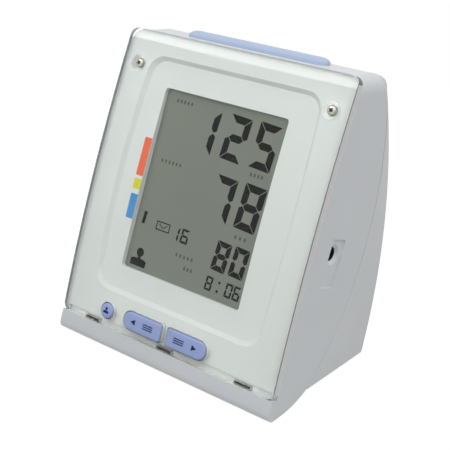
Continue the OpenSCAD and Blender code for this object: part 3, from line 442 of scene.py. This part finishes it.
def finish(name):
    """A finish by its name, made the first time it is used."""
    colours = bpy.context.scene.monitor_colours
    makers = {
        "housing": lambda: abs_housing(colours),
        "keys": lambda: abs_blue("abs_periwinkle", colours.keys),
        "bar": lambda: abs_blue("abs_pale_blue", colours.bar),
        "cover": lambda: acrylic("acrylic_clear_polished", 0.02),
        # Wall of a screw pocket, left matt by the mould, with a painted glow
        "cover_matt_painted_glow": lambda: acrylic("acrylic_clear_matt", 0.55, 0.22),
        "display": lambda: display_finish(colours),
        "ink": lambda: printed("segment_ink", opaque(colours.ink), 0.5, 0.03),
        "faint_ink": lambda: printed("segment_ink_faint", srgb("#4f544e"), 0.45),
        "navy": lambda: printed("pad_print_navy", srgb("#28325e")),
        "red": lambda: printed("pad_print_red", opaque(colours.band_high)),
        "yellow": lambda: printed("pad_print_yellow", opaque(colours.band_middle)),
        "blue": lambda: printed("pad_print_blue", opaque(colours.band_low)),
        # Moulded edge of the acrylic, made an opaque pale white: painted light for the light the sheet
        # gathers in it
        "cover_edge": lambda: grained("acrylic_edge_milky", srgb("#e9e9e5"), 0.25, 0.5, 0.004, 0.03, 6),
        # Painted shade: the same edge made a cool grey on the left rim, where no light reaches it in the
        # depth of the sheet
        "cover_painted_shade": lambda: grained("acrylic_edge_shaded", srgb("#8f9499"), 0.25, 0.5, 0.004, 0.04, 6),
        # Painted reflection: a dark line on the right edge and top right corner, for the dark the rounded
        # edge bends in
        "cover_painted_line": lambda: grained("acrylic_edge_dark", srgb("#66696a"), 0.3, 0.5, 0.004, 0.04, 6),
        # Zinc plated steel screw: bright, with a faint brushed grain
        "screw": lambda: metal("steel_zinc_plated", "#bdbcb2", 0.34),
        # Painted shade: a near black on the walls and bottom of a screw's cross recess
        "recess": lambda: grained("steel_recess_oiled", srgb("#35332f"), 0.5, 0.3, 0.006, 0.08, 1.5),
        # Deep drawn steel, tumbled: duller, with a coarser grain
        "drawn": lambda: metal("steel_drawn_tumbled", "#9d9d9c", 0.4, 0.6, 0.01),
        # Nickel plated spring steel: warm and bright
        "nickel": lambda: metal("steel_nickel_plated", "#c9c2b0", 0.22),
        # Enamelled copper winding: the enamel makes it a deep orange brown
        "copper": lambda: metal("copper_enamelled", "#b8693a", 0.35, 0.3, 0.02),
        # Natural rubber compound, moulded matt: dark and dusty
        "rubber": lambda: grained("rubber_moulded_matt", srgb("#3d3d40"), 0.8, 0.4, 0.03, 0.08, 4),
        # Black ABS and phenolic, moulded with a fine matt texture
        "black": lambda: grained("abs_black_matt", srgb("#1c1c1e"), 0.5, 0.4, 0.015, 0.1, 5),
        # Acetal, natural and unpainted: ivory with a waxy gloss
        "ivory": lambda: grained("acetal_natural", srgb("#e4dfcf"), 0.4, 0.8, 0.01, 0.02, 8),
        # Silicone hose, extruded: milky and slightly tacky
        "silicone": lambda: grained("silicone_extruded", srgb("#dcd6cf"), 0.45, 0.6, 0.01, 0.03, 6),
        # Glass fibre laminate under green solder mask: glossy, with the weave just showing
        "laminate": lambda: grained("fibre_laminate_green", srgb("#1d6a3c"), 0.35, 0.6, 0.02, 0.12, 1.2,
                                    coat=0.4),
        # Printed shrink sleeve over a steel can: glossy slate blue
        "sleeve": lambda: grained("pvc_sleeve_slate", srgb("#55606e"), 0.3, 0.8, 0.01, 0.06, 7, coat=0.5),
        # Shrink sleeve of a capacitor: glossy navy
        "navy_sleeve": lambda: grained("pvc_sleeve_navy", srgb("#222c55"), 0.28, 0.6, 0.01, 0.06, 4,
                                       coat=0.5),
    }
    if name not in FINISHES:
        FINISHES[name] = makers[name]()
    return FINISHES[name]


# ---- Sizes and colours that a user would change ----

class MonitorSizes(bpy.types.PropertyGroup):
    """Sizes of the dressed monitor."""
    edge: FloatProperty(name="Moulded edge", description="Rounding of the housing's edges",
                        default=0.35 * MM, min=0.1 * MM, max=0.8 * MM, unit="LENGTH")
    cover_edge: FloatProperty(name="Cover edge", description="Rounding of the clear cover's edges",
                              default=0.35 * MM, min=0.1 * MM, max=0.8 * MM, unit="LENGTH")
    figure_slant: FloatProperty(name="Figure slant", description="Lean of the display's figures",
                                default=math.radians(7), min=0, max=0.3, subtype="ANGLE", unit="ROTATION")
    figure_gap: FloatProperty(name="Segment gap", description="Gap between two segments of a figure",
                              default=0.22 * MM, min=0.05 * MM, max=0.5 * MM, unit="LENGTH")


class MonitorColours(bpy.types.PropertyGroup):
    """Colours of the dressed monitor."""
    housing: FloatVectorProperty(name="Housing", description="White of the moulded housing",
                                 default=srgb("#e7eaec")[:3], subtype="COLOR", min=0, max=1)
    keys: FloatVectorProperty(name="Keys", description="Blue of the front keys",
                              default=srgb("#a9bbec")[:3], subtype="COLOR", min=0, max=1)
    bar: FloatVectorProperty(name="Start bar", description="Paler blue of the start bar",
                             default=srgb("#bccdea")[:3], subtype="COLOR", min=0, max=1)
    display: FloatVectorProperty(name="Display", description="Grey green of the display glass",
                                 default=srgb("#81857e")[:3], subtype="COLOR", min=0, max=1)
    ink: FloatVectorProperty(name="Figures", description="Near black of the display's figures",
                             default=srgb("#0c0809")[:3], subtype="COLOR", min=0, max=1)
    band_high: FloatVectorProperty(name="High band", description="Red of the pressure scale",
                                   default=srgb("#f9704b")[:3], subtype="COLOR", min=0, max=1)
    band_middle: FloatVectorProperty(name="Middle band", description="Yellow of the pressure scale",
                                     default=srgb("#e6dc37")[:3], subtype="COLOR", min=0, max=1)
    band_low: FloatVectorProperty(name="Low band", description="Blue of the pressure scale",
                                  default=srgb("#4c96da")[:3], subtype="COLOR", min=0, max=1)


# ---- Pieces ----

class MONITOR_OT_housing(bpy.types.Operator):
    """Front and rear housings with rounded edges"""
    bl_idname = "monitor.housing"
    bl_label = "Housing"

    def execute(self, context):
        edge = context.scene.monitor_sizes.edge
        for node in ("front_shell", "rear_shell"):
            own(moulding(node, edge), node.replace("shell", "housing"), "housing", finish("housing"),
                [node], smooth=None)
        return {"FINISHED"}


# Front keys: their row up the face, a memory key's length, height and gap, and the round key
KEY_V = 7.6
KEY_L, KEY_H, KEY_GAP = 21.8, 8.2, 3.2
USER_U, USER_R = -33.7, 3.5
HOLE_CLEAR = 0.35
# Cover screws: their places, head radius, and the depth of their seats
SCREW_U, SCREW_V, SCREW_R = 51, 118.8, 2.1
SCREW_SEAT = swell(SCREW_V) - 2
POCKET_DEPTH = 2.6
COVER_ROWS = 34
COVER_CORNER = 4
# The cover stands this far off the housing
COVER_LIFT = 0.08


def key_blank(length, height, tall, corner):
    """A bar with one round end and one square end, which stands on x = 0; its top is at z = 0."""
    piece = block((length, height, tall), (length / 2, 0, -tall / 2))
    round_upright(piece, 1, height / 2 - 0.2, 14)
    round_upright(piece, -1, corner, 5)
    return piece


def key_place(side):
    """Turns a key so that its square end faces the middle of the monitor."""
    turn = Matrix.Rotation(0 if side > 0 else math.pi, 4, "Z")
    return Matrix.Translation((side * KEY_GAP / 2, KEY_V, 0)) @ turn


class MONITOR_OT_cover(bpy.types.Operator):
    """Clear cover: a swelling plate with its key holes, screw pockets and hooks"""
    bl_idname = "monitor.cover"
    bl_label = "Clear cover"

    def execute(self, context):
        thick = COVER_T - COVER_LIFT
        piece = block((FACE_WIDTH, FACE_HEIGHT, thick), (0, FACE_HEIGHT / 2, -thick / 2))
        for side in (-1, 1):
            round_upright(piece, side, COVER_CORNER, 8)
        edit(piece)
        for row in range(1, COVER_ROWS):
            bpy.ops.mesh.select_all(action="SELECT")
            bpy.ops.mesh.bisect(plane_co=(0, FACE_HEIGHT * row / COVER_ROWS, 0), plane_no=(0, 1, 0))
        # A narrow strip along the right edge, which gets a painted dark line
        painted_line_from = FACE_WIDTH / 2 - 0.4
        bpy.ops.mesh.select_all(action="SELECT")
        bpy.ops.mesh.bisect(plane_co=(painted_line_from, 0, 0), plane_no=(1, 0, 0))
        heights = sorted({round(v.co.y, 3) for v in bmesh.from_edit_mesh(piece.data).verts})
        for height in heights:
            pick(piece, "verts", lambda v: abs(v.co.y - height) < 0.002)
            bpy.ops.transform.translate(value=(0, 0, swell(height)))
        done()
        for x in (-43, 0, 43):
            hook = block((8.4, 1.2, 4.6), (x, 0.9, -4.9))
            use(piece, "BOOLEAN", operation="UNION", solver="EXACT", object=hook)
            bpy.data.objects.remove(hook)
        for side in (-1, 1):
            hole = key_blank(KEY_L + 2 * HOLE_CLEAR, KEY_H + 2 * HOLE_CLEAR, 12, 1.5)
            wider = Matrix.Translation((-HOLE_CLEAR, 0, 0))
            put(hole, Matrix.Translation((0, 0, 6)) @ key_place(side) @ wider)
            cut(piece, hole)
        cut(piece, disc(USER_R + HOLE_CLEAR, 12, (USER_U, KEY_V, -6)))
        for side in (-1, 1):
            bpy.ops.mesh.primitive_cone_add(
                vertices=64, radius1=SCREW_R + 0.4, radius2=SCREW_R + 2, depth=POCKET_DEPTH,
                location=(side * SCREW_U, SCREW_V, SCREW_SEAT + POCKET_DEPTH / 2))
            cut(piece, bpy.context.object)
            cut(piece, disc(1.7, 8, (side * SCREW_U, SCREW_V, SCREW_SEAT - 5)))
        soften(piece, context.scene.monitor_sizes.cover_edge / MM, 3)
        put(piece, FACE)
        own(piece, "cover_plate", "housing", finish("cover"), ["clear_cover"], smooth=None)
        for edge in ("cover_edge", "cover_painted_shade", "cover_painted_line", "cover_matt_painted_glow"):
            piece.data.materials.append(finish(edge))
        across, up, out = (FACE.to_3x3().col[k].normalized() for k in range(3))
        for face in piece.data.polygons:
            spot = FACE.inverted() @ face.center
            at_rim = abs(spot.x) > FACE_WIDTH / 2 - COVER_CORNER or spot.y > FACE_HEIGHT - COVER_CORNER
            at_screw = abs(abs(spot.x) - SCREW_U) < 6 and abs(spot.y - SCREW_V) < 6
            along, rise, level = (face.normal.dot(axis) for axis in (across, up, out))
            if at_screw:
                # The screw pockets' walls take the matt finish with its painted glow.
                face.material_index = 4 if abs(level) < 0.9 else 0
            # Faces across the sheet take the pale painted light, except the top right corner and the left
            # rim.
            elif abs(level) < 0.62:
                # The top right corner's rim takes the painted dark line.
                in_corner = along > 0.25 and rise > 0.25
                # The left rim takes the painted shade.
                face.material_index = 3 if in_corner else 2 if at_rim and along < -0.3 else 1
            # The front face's strip along the right edge takes the painted dark line.
            elif level > 0 and spot.x > painted_line_from:
                face.material_index = 3
        return {"FINISHED"}


def screw(head_r, head_h, shank_r, length, recess):
    """A pan head screw along Z with a cross recess; its head stands on z = 0."""
    head = disc(head_r, head_h * 0.45, around=40)
    rings = ((0.06, 0.25), (0.12, 0.17), (0.2, 0.1), (0.3, 0.03))
    pillow(head, [(head_r * inset, head_h * rise) for inset, rise in rings])
    head.data.materials.append(finish("screw"))
    head.data.materials.append(finish("recess"))
    for turn in (0, math.pi / 2):
        slot = block((recess * 2, recess * 0.6, head_h * 1.1), (0, 0, head_h * 1.1))
        slot.data.materials.append(finish("screw"))
        slot.data.materials.append(finish("recess"))
        # The recess's faces take the painted shade.
        for face in slot.data.polygons:
            face.material_index = 1
        edit(slot)
        pick(slot, "faces", lambda f: f.normal.z < -0.9)
        bpy.ops.transform.resize(value=(0.5, 0.8, 1), center_override=(0, 0, 0))
        done()
        put(slot, Matrix.Rotation(turn, 4, "Z"))
        cut(head, slot)
    shank = disc(shank_r, length, (0, 0, -length), around=24)
    round_rim(shank, 0.2, 1)
    shank.data.materials.append(finish("screw"))
    return join(head, shank)


class MONITOR_OT_screws(bpy.types.Operator):
    """Cover screws and housing screws with cross recesses"""
    bl_idname = "monitor.screws"
    bl_label = "Screws"

    def execute(self, context):
        first = screw(SCREW_R, 1.6, 1.45, 9, 1.45)
        placed = [copy(first, FACE @ Matrix.Translation((side * SCREW_U, SCREW_V, SCREW_SEAT))
                       @ Matrix.Rotation(turn, 4, "Z")) for side, turn in ((-1, 0.5), (1, 1.1))]
        bpy.data.objects.remove(first)
        own(join(*placed), "cover_screw_pair", "housing", None, ["cover_screws"])

        low, high = (Vector(corner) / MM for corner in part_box("housing_screws"))
        head_r, head_h = 2.7, 1.6
        first = screw(head_r, head_h, 1.2, 12, 1.5)
        rear = Matrix.Rotation(-math.pi / 2, 4, "X")
        under = Matrix.Rotation(math.pi, 4, "X")
        placed = []
        for x, turn in ((-50, 0.3), (50, 0.9)):
            spin = Matrix.Rotation(turn, 4, "Z")
            upper = Matrix.Translation((x, high.y - head_h, high.z - head_r))
            lower = Matrix.Translation((x, low.y + head_r, low.z + head_h))
            placed.append(copy(first, TO_METRES @ upper @ rear @ spin))
            placed.append(copy(first, TO_METRES @ lower @ under @ spin))
        bpy.data.objects.remove(first)
        own(join(*placed), "housing_screw_set", "housing", None, ["housing_screws"])
        return {"FINISHED"}


class MONITOR_OT_display(bpy.types.Operator):
    """Display glass with its ledge and ground edges"""
    bl_idname = "monitor.display"
    bl_label = "Display glass"

    def execute(self, context):
        piece = moulding("display_glass", 0.15 * MM, 2)
        own(piece, "display_pane", "housing", finish("display"), ["display_glass"])
        return {"FINISHED"}


# Segments that are lit in each figure: top, upper right, lower right, bottom, lower left, upper left, middle
LIT = {"0": "abcdef", "1": "bc", "2": "abdeg", "5": "acdfg", "6": "acdefg", "7": "abc", "8": "abcdefg"}
FLIP_X = Matrix.Scale(-1, 4, (1, 0, 0))
FLIP_Y = Matrix.Scale(-1, 4, (0, 1, 0))
# Thickness of a layer of ink
INK_T = 0.04


def trim(piece, at, towards):
    """Cuts off what lies beyond a line across a flat segment."""
    edit(piece)
    bpy.ops.mesh.select_all(action="SELECT")
    bpy.ops.mesh.bisect(plane_co=(at[0], at[1], 0), plane_no=(towards[0], towards[1], 0), clear_outer=True,
                        use_fill=False)
    done()


def flat(width, height, at=(0, 0)):
    """A flat rectangle."""
    bpy.ops.mesh.primitive_plane_add(size=1)
    piece = bpy.context.object
    put(piece, Matrix.Translation((at[0], at[1], 0)) @ Matrix.Diagonal((width, height, 1, 1)))
    return piece


def segments(width, height, weight, gap):
    """The three shapes that every figure is made of: end bar, side bar and middle bar."""
    w, h, t = width / 2, height / 2, weight
    end = flat(width, t, (0, h - t / 2))
    for s in (-1, 1):
        trim(end, (s * (w - gap), h), (s, -1))
    side = flat(t, h, (w - t / 2, h / 2))
    trim(side, (w, h - gap), (-1, 1))
    trim(side, (w - t / 2, gap), (-1, -1))
    trim(side, (w - t / 2, gap), (0.6, -1))
    middle = flat(width - t, t)
    for s in (-1, 1):
        for u in (-1, 1):
            trim(middle, (s * (w - t / 2 - gap), 0), (s, u))
    return {"end": end, "side": side, "middle": middle}


PLACES = {"a": ("end", Matrix()), "b": ("side", Matrix()), "c": ("side", FLIP_Y), "d": ("end", FLIP_Y),
          "e": ("side", FLIP_X @ FLIP_Y), "f": ("side", FLIP_X), "g": ("middle", Matrix())}


def leaning(slant):
    """Leans a flat shape to the right."""
    lean = Matrix.Identity(4)
    lean[0][1] = math.tan(slant)
    return lean


def figures(size, spots, gap, slant):
    """Figures of one size; a spot is the figure and the middle of its place on the face."""
    width, height, weight = size
    masters = segments(width, height, weight, gap)
    lean = leaning(slant)
    placed = []
    for figure, x, y in spots:
        for letter in LIT[figure]:
            master, flip = PLACES[letter]
            placed.append(copy(masters[master], Matrix.Translation((x, y, 0)) @ lean @ flip))
    for master in masters.values():
        bpy.data.objects.remove(master)
    return placed


def inked(pieces, name, colour, place, body="housing"):
    """Joins flat shapes, gives them the thickness of ink and lays them in place."""
    piece = join(*pieces)
    edit(piece)
    pick(piece, "faces", lambda f: True)
    bpy.ops.mesh.remove_doubles(threshold=1e-4)
    pick(piece, "faces", lambda f: f.normal.z < 0)
    bpy.ops.mesh.flip_normals()
    pick(piece, "faces", lambda f: True)
    bpy.ops.mesh.extrude_region_move(TRANSFORM_OT_translate={"value": (0, 0, INK_T)})
    done()
    turn_out(piece)
    put(piece, place)
    return own(piece, name, body, finish(colour), smooth=20)


def dot(radius, x, y):
    bpy.ops.mesh.primitive_circle_add(vertices=24, radius=radius, fill_type="NGON", location=(x, y, 0))
    bpy.ops.object.transform_apply()
    return bpy.context.object


def person(x, y, size):
    """A head on a neck over rounded shoulders; the size is the width of the shoulders."""
    head = dot(size * 0.23, x, y + size * 0.4)
    neck = flat(size * 0.2, size * 0.09, (x, y + size * 0.125))
    body = flat(size, size * 0.4, (x, y - size * 0.12))
    for side in (-1, 1):
        trim(body, (x + side * size * 0.42, y + size * 0.08), (side * 1, 1))
        trim(body, (x + side * size * 0.3, y + size * 0.08), (side * 0.4, 1))
    return [head, neck, body]


def envelope(x, y, width, height, line):
    """An outline with two folds, as for a stored message."""
    bars = [flat(width, line, (x, y + s * (height - line) / 2)) for s in (-1, 1)]
    bars += [flat(line, height - 2 * line, (x + s * (width - line) / 2, y)) for s in (-1, 1)]
    for s in (-1, 1):
        fold = flat(width * 0.36, line * 0.8)
        middle = Matrix.Translation((x + s * width * 0.15, y + height * 0.02, 0))
        put(fold, middle @ Matrix.Rotation(s * 0.6, 4, "Z"))
        bars.append(fold)
    return bars


class MONITOR_OT_readings(bpy.types.Operator):
    """Figures, marks and faint dashes in the display"""
    bl_idname = "monitor.readings"
    bl_label = "Readings"

    def execute(self, context):
        sizes = context.scene.monitor_sizes
        gap, slant = sizes.figure_gap / MM, sizes.figure_slant
        # Width, height and segment weight of each size of figure
        big = (11.2, 19.4, 3.15)
        middle = (7.6, 12.8, 2.3)
        small = (3.6, 6.1, 0.9)
        counter = (4.2, 6.3, 0.95)
        row_1, row_2, row_3, row_4 = 97.4, 71.1, 47.7, 35.2
        pieces = figures(big, [("1", -8.8, row_1), ("2", 7.4, row_1), ("5", 22.8, row_1),
                               ("7", 8.2, row_2), ("8", 23.3, row_2)], gap, slant)
        pieces += figures(middle, [("8", 15.5, row_3), ("0", 24.9, row_3)], gap * 0.8, slant)
        pieces += figures(small, [("8", 12.7, row_4), ("0", 23.4, row_4), ("6", 27.6, row_4)],
                          gap * 0.4, slant)
        pieces += figures(counter, [("1", -11.0, 50.6), ("6", -5.6, 50.6)], gap * 0.4, slant)
        pieces += [dot(0.6, 18.0, row_4 + 1.8), dot(0.6, 17.7, row_4 - 2.1)]
        level = flat(1.7, 5.6)
        put(level, Matrix.Translation((-29.7, 52.8, 0)) @ leaning(slant))
        pieces.append(level)
        pieces += person(-27.2, 33.6, 8.8)
        pieces += envelope(-18.4, 51.4, 7.8, 4.1, 0.5)
        on_glass = FACE @ Matrix.Translation((0, 0, GLASS_N + 0.005))
        inked(pieces, "display_figures", "ink", on_glass)

        dashes = []
        for start, end, height in ((-28.6, -18.6, 106.7), (-28.9, -16.6, 79.6), (18.4, 26, 84.9),
                                   (18.6, 26, 57.8), (-8.6, 2.2, 41.9), (-2.6, 3.2, 37.3)):
            steps = int((end - start) / 1.9)
            pitch = (end - start) / steps
            dashes += [flat(0.9, 1.5, (start + pitch * (k + 0.5), height)) for k in range(steps)]
        inked(dashes, "display_dashes", "faint_ink", on_glass)
        return {"FINISHED"}


class MONITOR_OT_scale(bpy.types.Operator):
    """Red, yellow and blue bands of the pressure scale, printed beside the window"""
    bl_idname = "monitor.scale"
    bl_label = "Pressure scale"

    def execute(self, context):
        left, width, rows = -38.3, 4.0, 6
        for colour, low, high in (("red", 70.2, 87.6), ("yellow", 64.0, 68.8), ("blue", 50.5, 61.8)):
            tall = high - low
            bpy.ops.mesh.primitive_grid_add(x_subdivisions=1, y_subdivisions=rows, size=1)
            band = bpy.context.object
            middle = Matrix.Translation((left + width / 2, (high + low) / 2, 0))
            put(band, middle @ Matrix.Diagonal((width, tall, 1, 1)))
            edit(band)
            for row in range(rows + 1):
                y = low + tall * row / rows
                pick(band, "verts", lambda v: abs(v.co.y - y) < 0.01)
                bpy.ops.transform.translate(value=(0, 0, swell(y) - COVER_T - PANEL_FALL + 0.01))
            pick(band, "faces", lambda f: True)
            bpy.ops.mesh.extrude_region_move(TRANSFORM_OT_translate={"value": (0, 0, INK_T)})
            done()
            turn_out(band)
            put(band, FACE)
            own(band, "scale_" + colour, "housing", finish(colour), smooth=20)
        return {"FINISHED"}


# Front keys: top above the face, depth of the skirt, rounding of the rim, and the steps of the slight dome
KEY_TOP = swell(KEY_V) + 0.9
KEY_SKIRT = 7.0
KEY_RIM = 0.8
KEY_DOME = (0.93, 0.88, 0.8, 0.6)
DOME_STEP = 0.05
KEY_FACE = FACE @ Matrix.Translation((0, 0, KEY_TOP - 0.02))


def memory_key():
    """A key with one round end and one square end; its square end stands on x = 0."""
    rise = DOME_STEP * len(KEY_DOME)
    piece = key_blank(KEY_L, KEY_H, KEY_SKIRT - rise, 1.2)
    round_rim(piece, KEY_RIM, 4)
    dome(piece, (KEY_L / 2, 0), KEY_DOME, DOME_STEP)
    put(piece, Matrix.Translation((0, 0, -rise)))
    return piece


class MONITOR_OT_keys(bpy.types.Operator):
    """Two memory keys with arrows and the round user key"""
    bl_idname = "monitor.keys"
    bl_label = "Front keys"

    def execute(self, context):
        for name, side in (("mem_right", 1), ("mem_left", -1)):
            key = memory_key()
            put(key, FACE @ Matrix.Translation((0, 0, KEY_TOP)) @ key_place(side))
            flange = moulding(name + "_button", 0.1 * MM)
            keep_flange(flange)
            key = join(key, flange)
            own(key, name + "_key", name + "_key", finish("keys"), [name + "_button"])
            print_key(name, side)
        key = disc(USER_R, KEY_SKIRT - DOME_STEP * len(KEY_DOME), (0, 0, -KEY_SKIRT))
        round_rim(key, KEY_RIM, 4)
        dome(key, (0, 0), KEY_DOME, DOME_STEP)
        put(key, FACE @ Matrix.Translation((USER_U, KEY_V, KEY_TOP)))
        flange = moulding("user_button", 0.1 * MM)
        keep_flange(flange)
        own(join(key, flange), "user_key", "user_key", finish("keys"), ["user_button"])
        mark = person(USER_U, KEY_V - 0.3, 3.0)
        inked(mark, "user_mark", "navy", KEY_FACE, "user_key")
        return {"FINISHED"}


def keep_flange(piece):
    """Keeps only the hidden flange of a CAD key, below the new key's skirt."""
    level = FACE @ Vector((0, 0, -5.6))
    normal = (FACE.to_3x3() @ Vector((0, 0, 1))).normalized()
    edit(piece)
    bpy.ops.mesh.select_all(action="SELECT")
    bpy.ops.mesh.bisect(plane_co=level, plane_no=normal, clear_outer=True, use_fill=True)
    done()


def print_key(name, side):
    """An arrow and a list mark on a memory key."""
    bpy.ops.mesh.primitive_circle_add(vertices=3, radius=1.7, fill_type="NGON")
    arrow = bpy.context.object
    put(arrow, Matrix.Translation((side * 17.0, KEY_V, 0)) @ Matrix.Diagonal((1, 0.9, 1, 1))
        @ Matrix.Rotation(-side * math.pi / 2, 4, "Z"))
    bars = [flat(5.6, 0.5, (side * 8.9, KEY_V + step * 0.95)) for step in (-1, 0, 1)]
    inked([arrow] + bars, name + "_mark", "navy", KEY_FACE, name + "_key")


class MONITOR_OT_start_bar(bpy.types.Operator):
    """Long start bar on the top"""
    bl_idname = "monitor.start_bar"
    bl_label = "Start bar"

    def execute(self, context):
        length, width, high, back = 73, 8.5, 2.8, 10.2
        rings = [(0.1, 0.3)] + crown(width / 2, 7, 6)
        depth = 3.4
        tall = high + depth - sum(rise for _, rise in rings)
        piece = block((length, width, tall), (0, back, tall / 2 - depth))
        for side in (-1, 1):
            round_upright(piece, side, width / 2 - 0.25, 14)
        pillow(piece, rings)
        put(piece, TOP)
        own(piece, "start_bar_cap", "start_bar", finish("bar"), ["start_button"])
        return {"FINISHED"}


class MONITOR_OT_sockets(bpy.types.Operator):
    """Power socket and air socket with rounded mouths"""
    bl_idname = "monitor.sockets"
    bl_label = "Sockets"

    def execute(self, context):
        own(moulding("power_socket", 0.2 * MM), "power_socket_body", "housing", finish("black"),
            ["power_socket"])
        own(moulding("air_socket", 0.3 * MM, 3), "air_socket_body", "housing", finish("ivory"),
            ["air_socket"])
        return {"FINISHED"}


class MONITOR_OT_battery_door(bpy.types.Operator):
    """Battery door with rounded edges and two latch slots"""
    bl_idname = "monitor.battery_door"
    bl_label = "Battery door"

    def execute(self, context):
        piece = moulding("battery_door", 0.25 * MM)
        own(piece, "door_panel", "door", finish("housing"), ["battery_door"])
        return {"FINISHED"}


class MONITOR_OT_feet(bpy.types.Operator):
    """Rubber feet with rounded rims"""
    bl_idname = "monitor.feet"
    bl_label = "Feet"

    def execute(self, context):
        piece = moulding("rubber_feet", 0.5 * MM, 3)
        own(piece, "feet", "housing", finish("rubber"), ["rubber_feet"])
        return {"FINISHED"}


class MONITOR_OT_inside(bpy.types.Operator):
    """Finishes of the pieces inside the housing"""
    bl_idname = "monitor.inside"
    bl_label = "Inner pieces"

    def execute(self, context):
        groups = {
            "laminate": ("main_board", "start_board"),
            "black": ("front_switches", "start_switch", "controller_chip", "buzzer", "pressure_sensor",
                      "bleed_valve"),
            "rubber": ("display_connector", "pump_cradle"),
            "housing": ("display_tray",),
            "ivory": ("pump_head", "air_manifold", "valve_nozzle"),
            "drawn": ("pump_motor", "pump_shaft", "valve_yoke", "valve_plunger"),
            "nickel": ("cell_springs", "cell_plates", "valve_spring"),
            "copper": ("valve_coil",),
            "silicone": ("pump_hose", "valve_hose", "cuff_hose", "sensor_hose"),
            "sleeve": ("battery_cells",),
            "navy_sleeve": ("capacitors",),
            "screw": ("board_screws",),
        }
        for name, nodes in groups.items():
            for node in nodes:
                NODES[node].data.materials.clear()
                NODES[node].data.materials.append(finish(name))
        return {"FINISHED"}


class MONITOR_OT_stage(bpy.types.Operator):
    """Floor, soft light and the camera at the photograph's angle"""
    bl_idname = "monitor.stage"
    bl_label = "Stage"

    def execute(self, context):
        scene = context.scene
        bpy.ops.mesh.primitive_plane_add(size=8)
        floor = context.object
        floor.name = "floor"
        floor.data.materials.append(backdrop_finish())

        world = bpy.data.worlds.new("studio")
        scene.world = world
        world.use_nodes = True
        tree = world.node_tree
        tree.nodes.clear()
        sky = add(tree, "ShaderNodeBackground", Color=(0.95, 0.97, 1.0, 1), Strength=0.2)
        white = add(tree, "ShaderNodeBackground", Color=(1, 1, 1, 1), Strength=1.0)
        mix = add(tree, "ShaderNodeMixShader", Fac=open_rays(tree))
        tree.links.new(sky.outputs["Background"], mix.inputs[1])
        tree.links.new(white.outputs["Background"], mix.inputs[2])
        add(tree, "ShaderNodeOutputWorld", Surface=mix.outputs["Shader"])

        lamps = {}
        for name, place, size, power in (("key_light", (-0.3, -0.7, 1.0), 0.7, 3.5),
                                         ("fill_light", (0.45, -0.35, 0.6), 0.3, 0.68),
                                         ("top_light", (0.45, 0.15, 1.0), 0.6, 4.0),
                                         ("strip_light", (-0.68, -0.8, 0.665), 0.54, 1.5)):
            light = bpy.data.lights.new(name, "AREA")
            light.size = size
            light.energy = power
            lamps[name] = bpy.data.objects.new(name, light)
            scene.collection.objects.link(lamps[name])
            lamps[name].location = place
            aim = Vector((0, 0, 0.07)) - Vector(place)
            lamps[name].rotation_euler = aim.to_track_quat("-Z", "Y").to_euler()
        # The strip faces straight back, where the cover's upper edge mirrors it
        strip = lamps["strip_light"]
        strip.data.shape = "RECTANGLE"
        strip.data.size_y = 0.1
        strip.rotation_euler = (math.pi / 2, 0, 0)

        camera = bpy.data.objects.new("camera", bpy.data.cameras.new("camera"))
        scene.collection.objects.link(camera)
        camera.data.sensor_width = 36
        camera.data.lens = 81.735
        camera.data.clip_start = 0.01
        camera.location = Vector((252.8, -334.77, 234.39)) * MM
        camera.rotation_euler = (math.radians(67.184), math.radians(-2.612), math.radians(37.952))
        scene.camera = camera
        scene.view_settings.view_transform = "Standard"
        return {"FINISHED"}


PIECES = (MONITOR_OT_housing, MONITOR_OT_cover, MONITOR_OT_screws, MONITOR_OT_display, MONITOR_OT_readings,
          MONITOR_OT_scale, MONITOR_OT_keys, MONITOR_OT_start_bar, MONITOR_OT_sockets,
          MONITOR_OT_battery_door, MONITOR_OT_feet, MONITOR_OT_inside, MONITOR_OT_stage)


class MONITOR_PT_panel(bpy.types.Panel):
    """Lists the monitor's sizes, colours and pieces"""
    bl_idname = "MONITOR_PT_panel"
    bl_label = "Monitor"
    bl_space_type = "VIEW_3D"
    bl_region_type = "UI"
    bl_category = "Monitor"

    def draw(self, context):
        for group in (context.scene.monitor_sizes, context.scene.monitor_colours):
            column = self.layout.column()
            for name in group.__annotations__:
                column.prop(group, name)
        for piece in PIECES:
            self.layout.operator(piece.bl_idname)


CLASSES = (MonitorSizes, MonitorColours) + PIECES + (MONITOR_PT_panel,)


def register():
    for kind in CLASSES:
        bpy.utils.register_class(kind)
    bpy.types.Scene.monitor_sizes = PointerProperty(type=MonitorSizes)
    bpy.types.Scene.monitor_colours = PointerProperty(type=MonitorColours)


def unregister():
    del bpy.types.Scene.monitor_colours
    del bpy.types.Scene.monitor_sizes
    for kind in reversed(CLASSES):
        bpy.utils.unregister_class(kind)


def main():
    """Builds every piece in order."""
    register()
    for piece in PIECES:
        group, name = piece.bl_idname.split(".")
        getattr(getattr(bpy.ops, group), name)()


if __name__ == "__main__":
    main()
